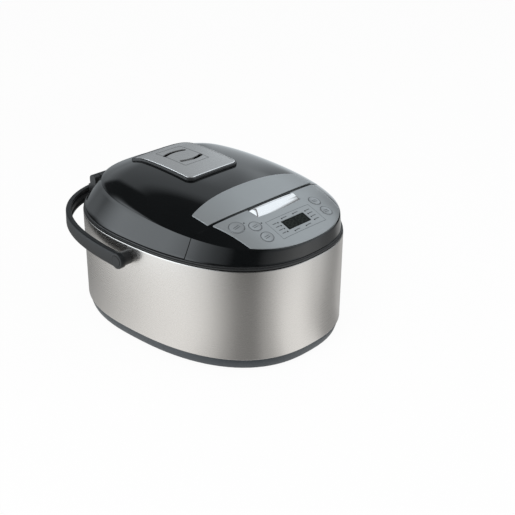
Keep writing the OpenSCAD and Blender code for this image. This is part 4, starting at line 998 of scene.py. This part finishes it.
# %% Make the tent
# Each card: its direction at the wall, its direction 200 mm out, and its brightness. Zero degrees is the
# front, and positive angles go to the right.
CARDS = np.array([
    [-180, -180, 0.30], [-150, -165, 0.30], [-120, -150, 0.45], [-105, -138, 0.60], [-95, -126, 0.75],
    [-89, -118, 0.87], [-84, -104, 1.00], [-79, -93, 1.06], [-74, -87, 1.06], [-67, -84, 1.00],
    [-64, -74, 0.87], [-57, -70, 0.69], [-51, -60, 0.46], [-43, -49, 0.28], [-37, -41, 0.26],
    [-33, -34, 0.25], [-29, -27, 0.30], [-26, -22, 0.41], [-19, -14, 0.54], [-13, -6, 0.76],
    [-11, -2, 0.89], [-8, 2, 1.00], [-3, 9, 1.05], [-1, 14, 1.05], [1, 24, 0.95], [4, 27, 0.88],
    [7, 32, 0.72], [10, 41, 0.43], [17, 50, 0.36], [21, 61, 0.34], [30, 66, 0.38], [41, 75, 0.60],
    [60, 95, 0.50], [90, 120, 0.50], [120, 140, 0.45], [150, 160, 0.35], [180, 180, 0.30]])

# Far off, a bright cloth stands at the left and black flags at the front: direction and brightness.
HORIZON = np.array([
    [-180, 0.30], [-160, 0.60], [-145, 1.40], [-128, 2.10], [-112, 2.40], [-97, 1.85], [-87, 1.10],
    [-76, 0.62], [-66, 0.35], [-56, 0.02], [-28, 0.02], [-15, 0.27], [-2, 0.42], [12, 0.70], [25, 0.95],
    [37, 1.00], [47, 0.60], [57, 0.33], [68, 0.20], [80, 0.28], [93, 0.50], [106, 1.00], [128, 0.90],
    [136, 0.70], [146, 0.30], [180, 0.30]])
CLOTH_DARK = 0.04
print(len(CARDS), "cards,", len(HORIZON), "far cards")


def bump(a, middle, half, soft):
    """1 within half of the middle angle, falling to 0 over soft degrees as a smooth step."""
    d = np.abs((a - middle + 180) % 360 - 180)
    t = np.clip((half + soft - d) / soft, 0, 1)
    return t * t * (3 - 2 * t)


def band(el, low, high):
    """1 between two elevations, falling to 0 over six degrees outside them."""
    return np.clip((el - low + 6) / 6, 0, 1) * np.clip((high + 6 - el) / 6, 0, 1)


def floor_shade(az, far):
    """Brightness of the cards on the floor: far runs from 0 at the wall to 1 at 200 mm."""
    return np.interp(az, CARDS[:, 0] + (CARDS[:, 1] - CARDS[:, 0]) * far, CARDS[:, 2])


def cloth_shade(az, el):
    """Brightness of the bowl by direction: the far cards low down, and above them four soft windows.

    Each window is a smooth step in azimuth times a ramp or a band in elevation, and a smooth step blends it
    with the far cards between 1 degree below level and 11 above.
    """
    rear_right = 0.38 * bump(az, 148, 24, 8) * np.clip((50 - el) / 6, 0, 1)
    right = 0.5 * bump(az, 119, 12, 5) * np.clip((36 - el) / 8, 0, 1)
    wide, narrow = bump(az, 68, 46, 12) * band(el, 30, 60), bump(az, 38, 14, 12) * band(el, 21, 60)
    front_right = 0.95 * np.maximum(wide, narrow)
    left = 2.3 * bump(az, -118, 16, 30) * np.clip((34 - el) / 10, 0, 1)
    high = CLOTH_DARK + rear_right + right + front_right + left
    mix = np.clip((el + 1) / 12, 0, 1)
    mix = mix * mix * (3 - 2 * mix)
    return np.interp(az, HORIZON[:, 0], HORIZON[:, 1]) * (1 - mix) + high * mix


# %% Rows of the tent
# Rays that the lid reflects start about 178 mm up, so the cloth takes its shade by its elevation from there.
TENT_N, TENT_R, TENT_FOOT, LID_Z = 240, 1100, 2, 178
CARD_TINT, CLOTH_TINT = (1.0, 1.0, 0.985), (0.93, 1.0, 1.05)
tent_az = np.linspace(-180, 180, TENT_N, endpoint=False)
bearing = np.radians(tent_az)
compass = np.column_stack([np.sin(bearing), -np.cos(bearing)])
tent_rows, shades = [], []
for out in (4, 40, 80, 120, 160, 200):
    tent_rows.append(np.column_stack([plan_xy(180 - tent_az, -out), np.full(TENT_N, 1.0 + out / 400)]))
    shades.append(floor_shade(tent_az, out / 200))
card_points = TENT_N * len(shades)
tent_rows.append(np.column_stack([plan_xy(180 - tent_az, -560), np.full(TENT_N, 1.6)]))
shades.append(np.interp(tent_az, HORIZON[:, 0], HORIZON[:, 1]))
for el in np.radians(np.concatenate([np.linspace(1, 40, 40), np.linspace(42, 88, 24)])):
    reach, height = TENT_R * math.cos(el), TENT_R * math.sin(el)
    tent_rows.append(np.column_stack([reach * compass, np.full(TENT_N, height + TENT_FOOT)]))
    shades.append(cloth_shade(tent_az, math.degrees(math.atan2(height - LID_Z, reach))))
tent = stack("light_tent", tent_rows, end=[0, 0, TENT_R + TENT_FOOT])
level = np.concatenate(shades + [[CLOTH_DARK]])
tint = np.where(np.arange(len(level))[:, None] < card_points, CARD_TINT, CLOTH_TINT)
tone = np.column_stack([level[:, None] * tint, np.ones_like(level)])
shade = tent.data.attributes.new("shade", "FLOAT_COLOR", "POINT")
shade.data.foreach_set("color", tone.astype(np.float32).ravel())
cloth, tree = new_material("tent_cloth")
tree.nodes.clear()
value = add(tree, "ShaderNodeAttribute", attribute_name="shade")
lit = add(tree, "ShaderNodeEmission")
wire(tree, (value, "Color", lit, "Color"), (lit, 0, add(tree, "ShaderNodeOutputMaterial"), 0))
tent.data.materials.append(cloth)
for kind in ("camera", "diffuse", "transmission", "volume_scatter", "shadow"):
    setattr(tent, "visible_" + kind, False)
print("tent", len(tent.data.polygons), "faces")

# %% Lamps
LAMP_SIZE, LAMP_AIM = 1.2, (0, 0, 0.1)


def soft_lamp(name, place, power):
    """A square area lamp that looks at the cooker. The tent stands for it in reflections."""
    data = bpy.data.lights.new(name, "AREA")
    data.size, data.energy = LAMP_SIZE, power
    lamp = bpy.data.objects.new(name, data)
    lamp.location = place
    lamp.visible_glossy = False
    aim = np.array(LAMP_AIM) - np.array(place)
    yaw = math.atan2(aim[1], aim[0])
    pitch = math.atan2(math.hypot(aim[0], aim[1]), -aim[2])
    lamp.rotation_euler = (pitch, 0, yaw - math.pi / 2)
    bpy.context.scene.collection.objects.link(lamp)


soft_lamp("key_lamp", (-1.4, -0.6, 1.7), 26)
soft_lamp("fill_lamp", (1.3, -1.4, 1.2), 10)
print("lamps ready")

# %% Camera
AZ, EL, ROLL = math.radians(-47.1), math.radians(26.1), math.radians(0.53)
CAMERA_MM = np.array([-864.0, -903.5, 682.0])
back_dir = np.array([math.sin(AZ) * math.cos(EL), -math.cos(AZ) * math.cos(EL), math.sin(EL)])
level_right = np.array([math.cos(AZ), math.sin(AZ), 0.0])
level_up = np.cross(back_dir, level_right)
across = math.cos(ROLL) * level_right + math.sin(ROLL) * level_up
upward = -math.sin(ROLL) * level_right + math.cos(ROLL) * level_up
cam_data = bpy.data.cameras.new("camera")
cam_data.lens, cam_data.sensor_width, cam_data.sensor_fit = 71.67, 36.0, "AUTO"
cam_data.clip_end = 100
camera = bpy.data.objects.new("camera", cam_data)
bpy.context.scene.collection.objects.link(camera)
place = (CAMERA_MM + [0, SHIFT, 0]) * MM
matrix = np.eye(4)
matrix[:3] = np.column_stack([across, upward, back_dir, place])
camera.matrix_world = Matrix(matrix.tolist())
bpy.context.scene.camera = camera
bpy.context.scene.view_settings.view_transform = "Standard"
print("camera at", place.round(3))
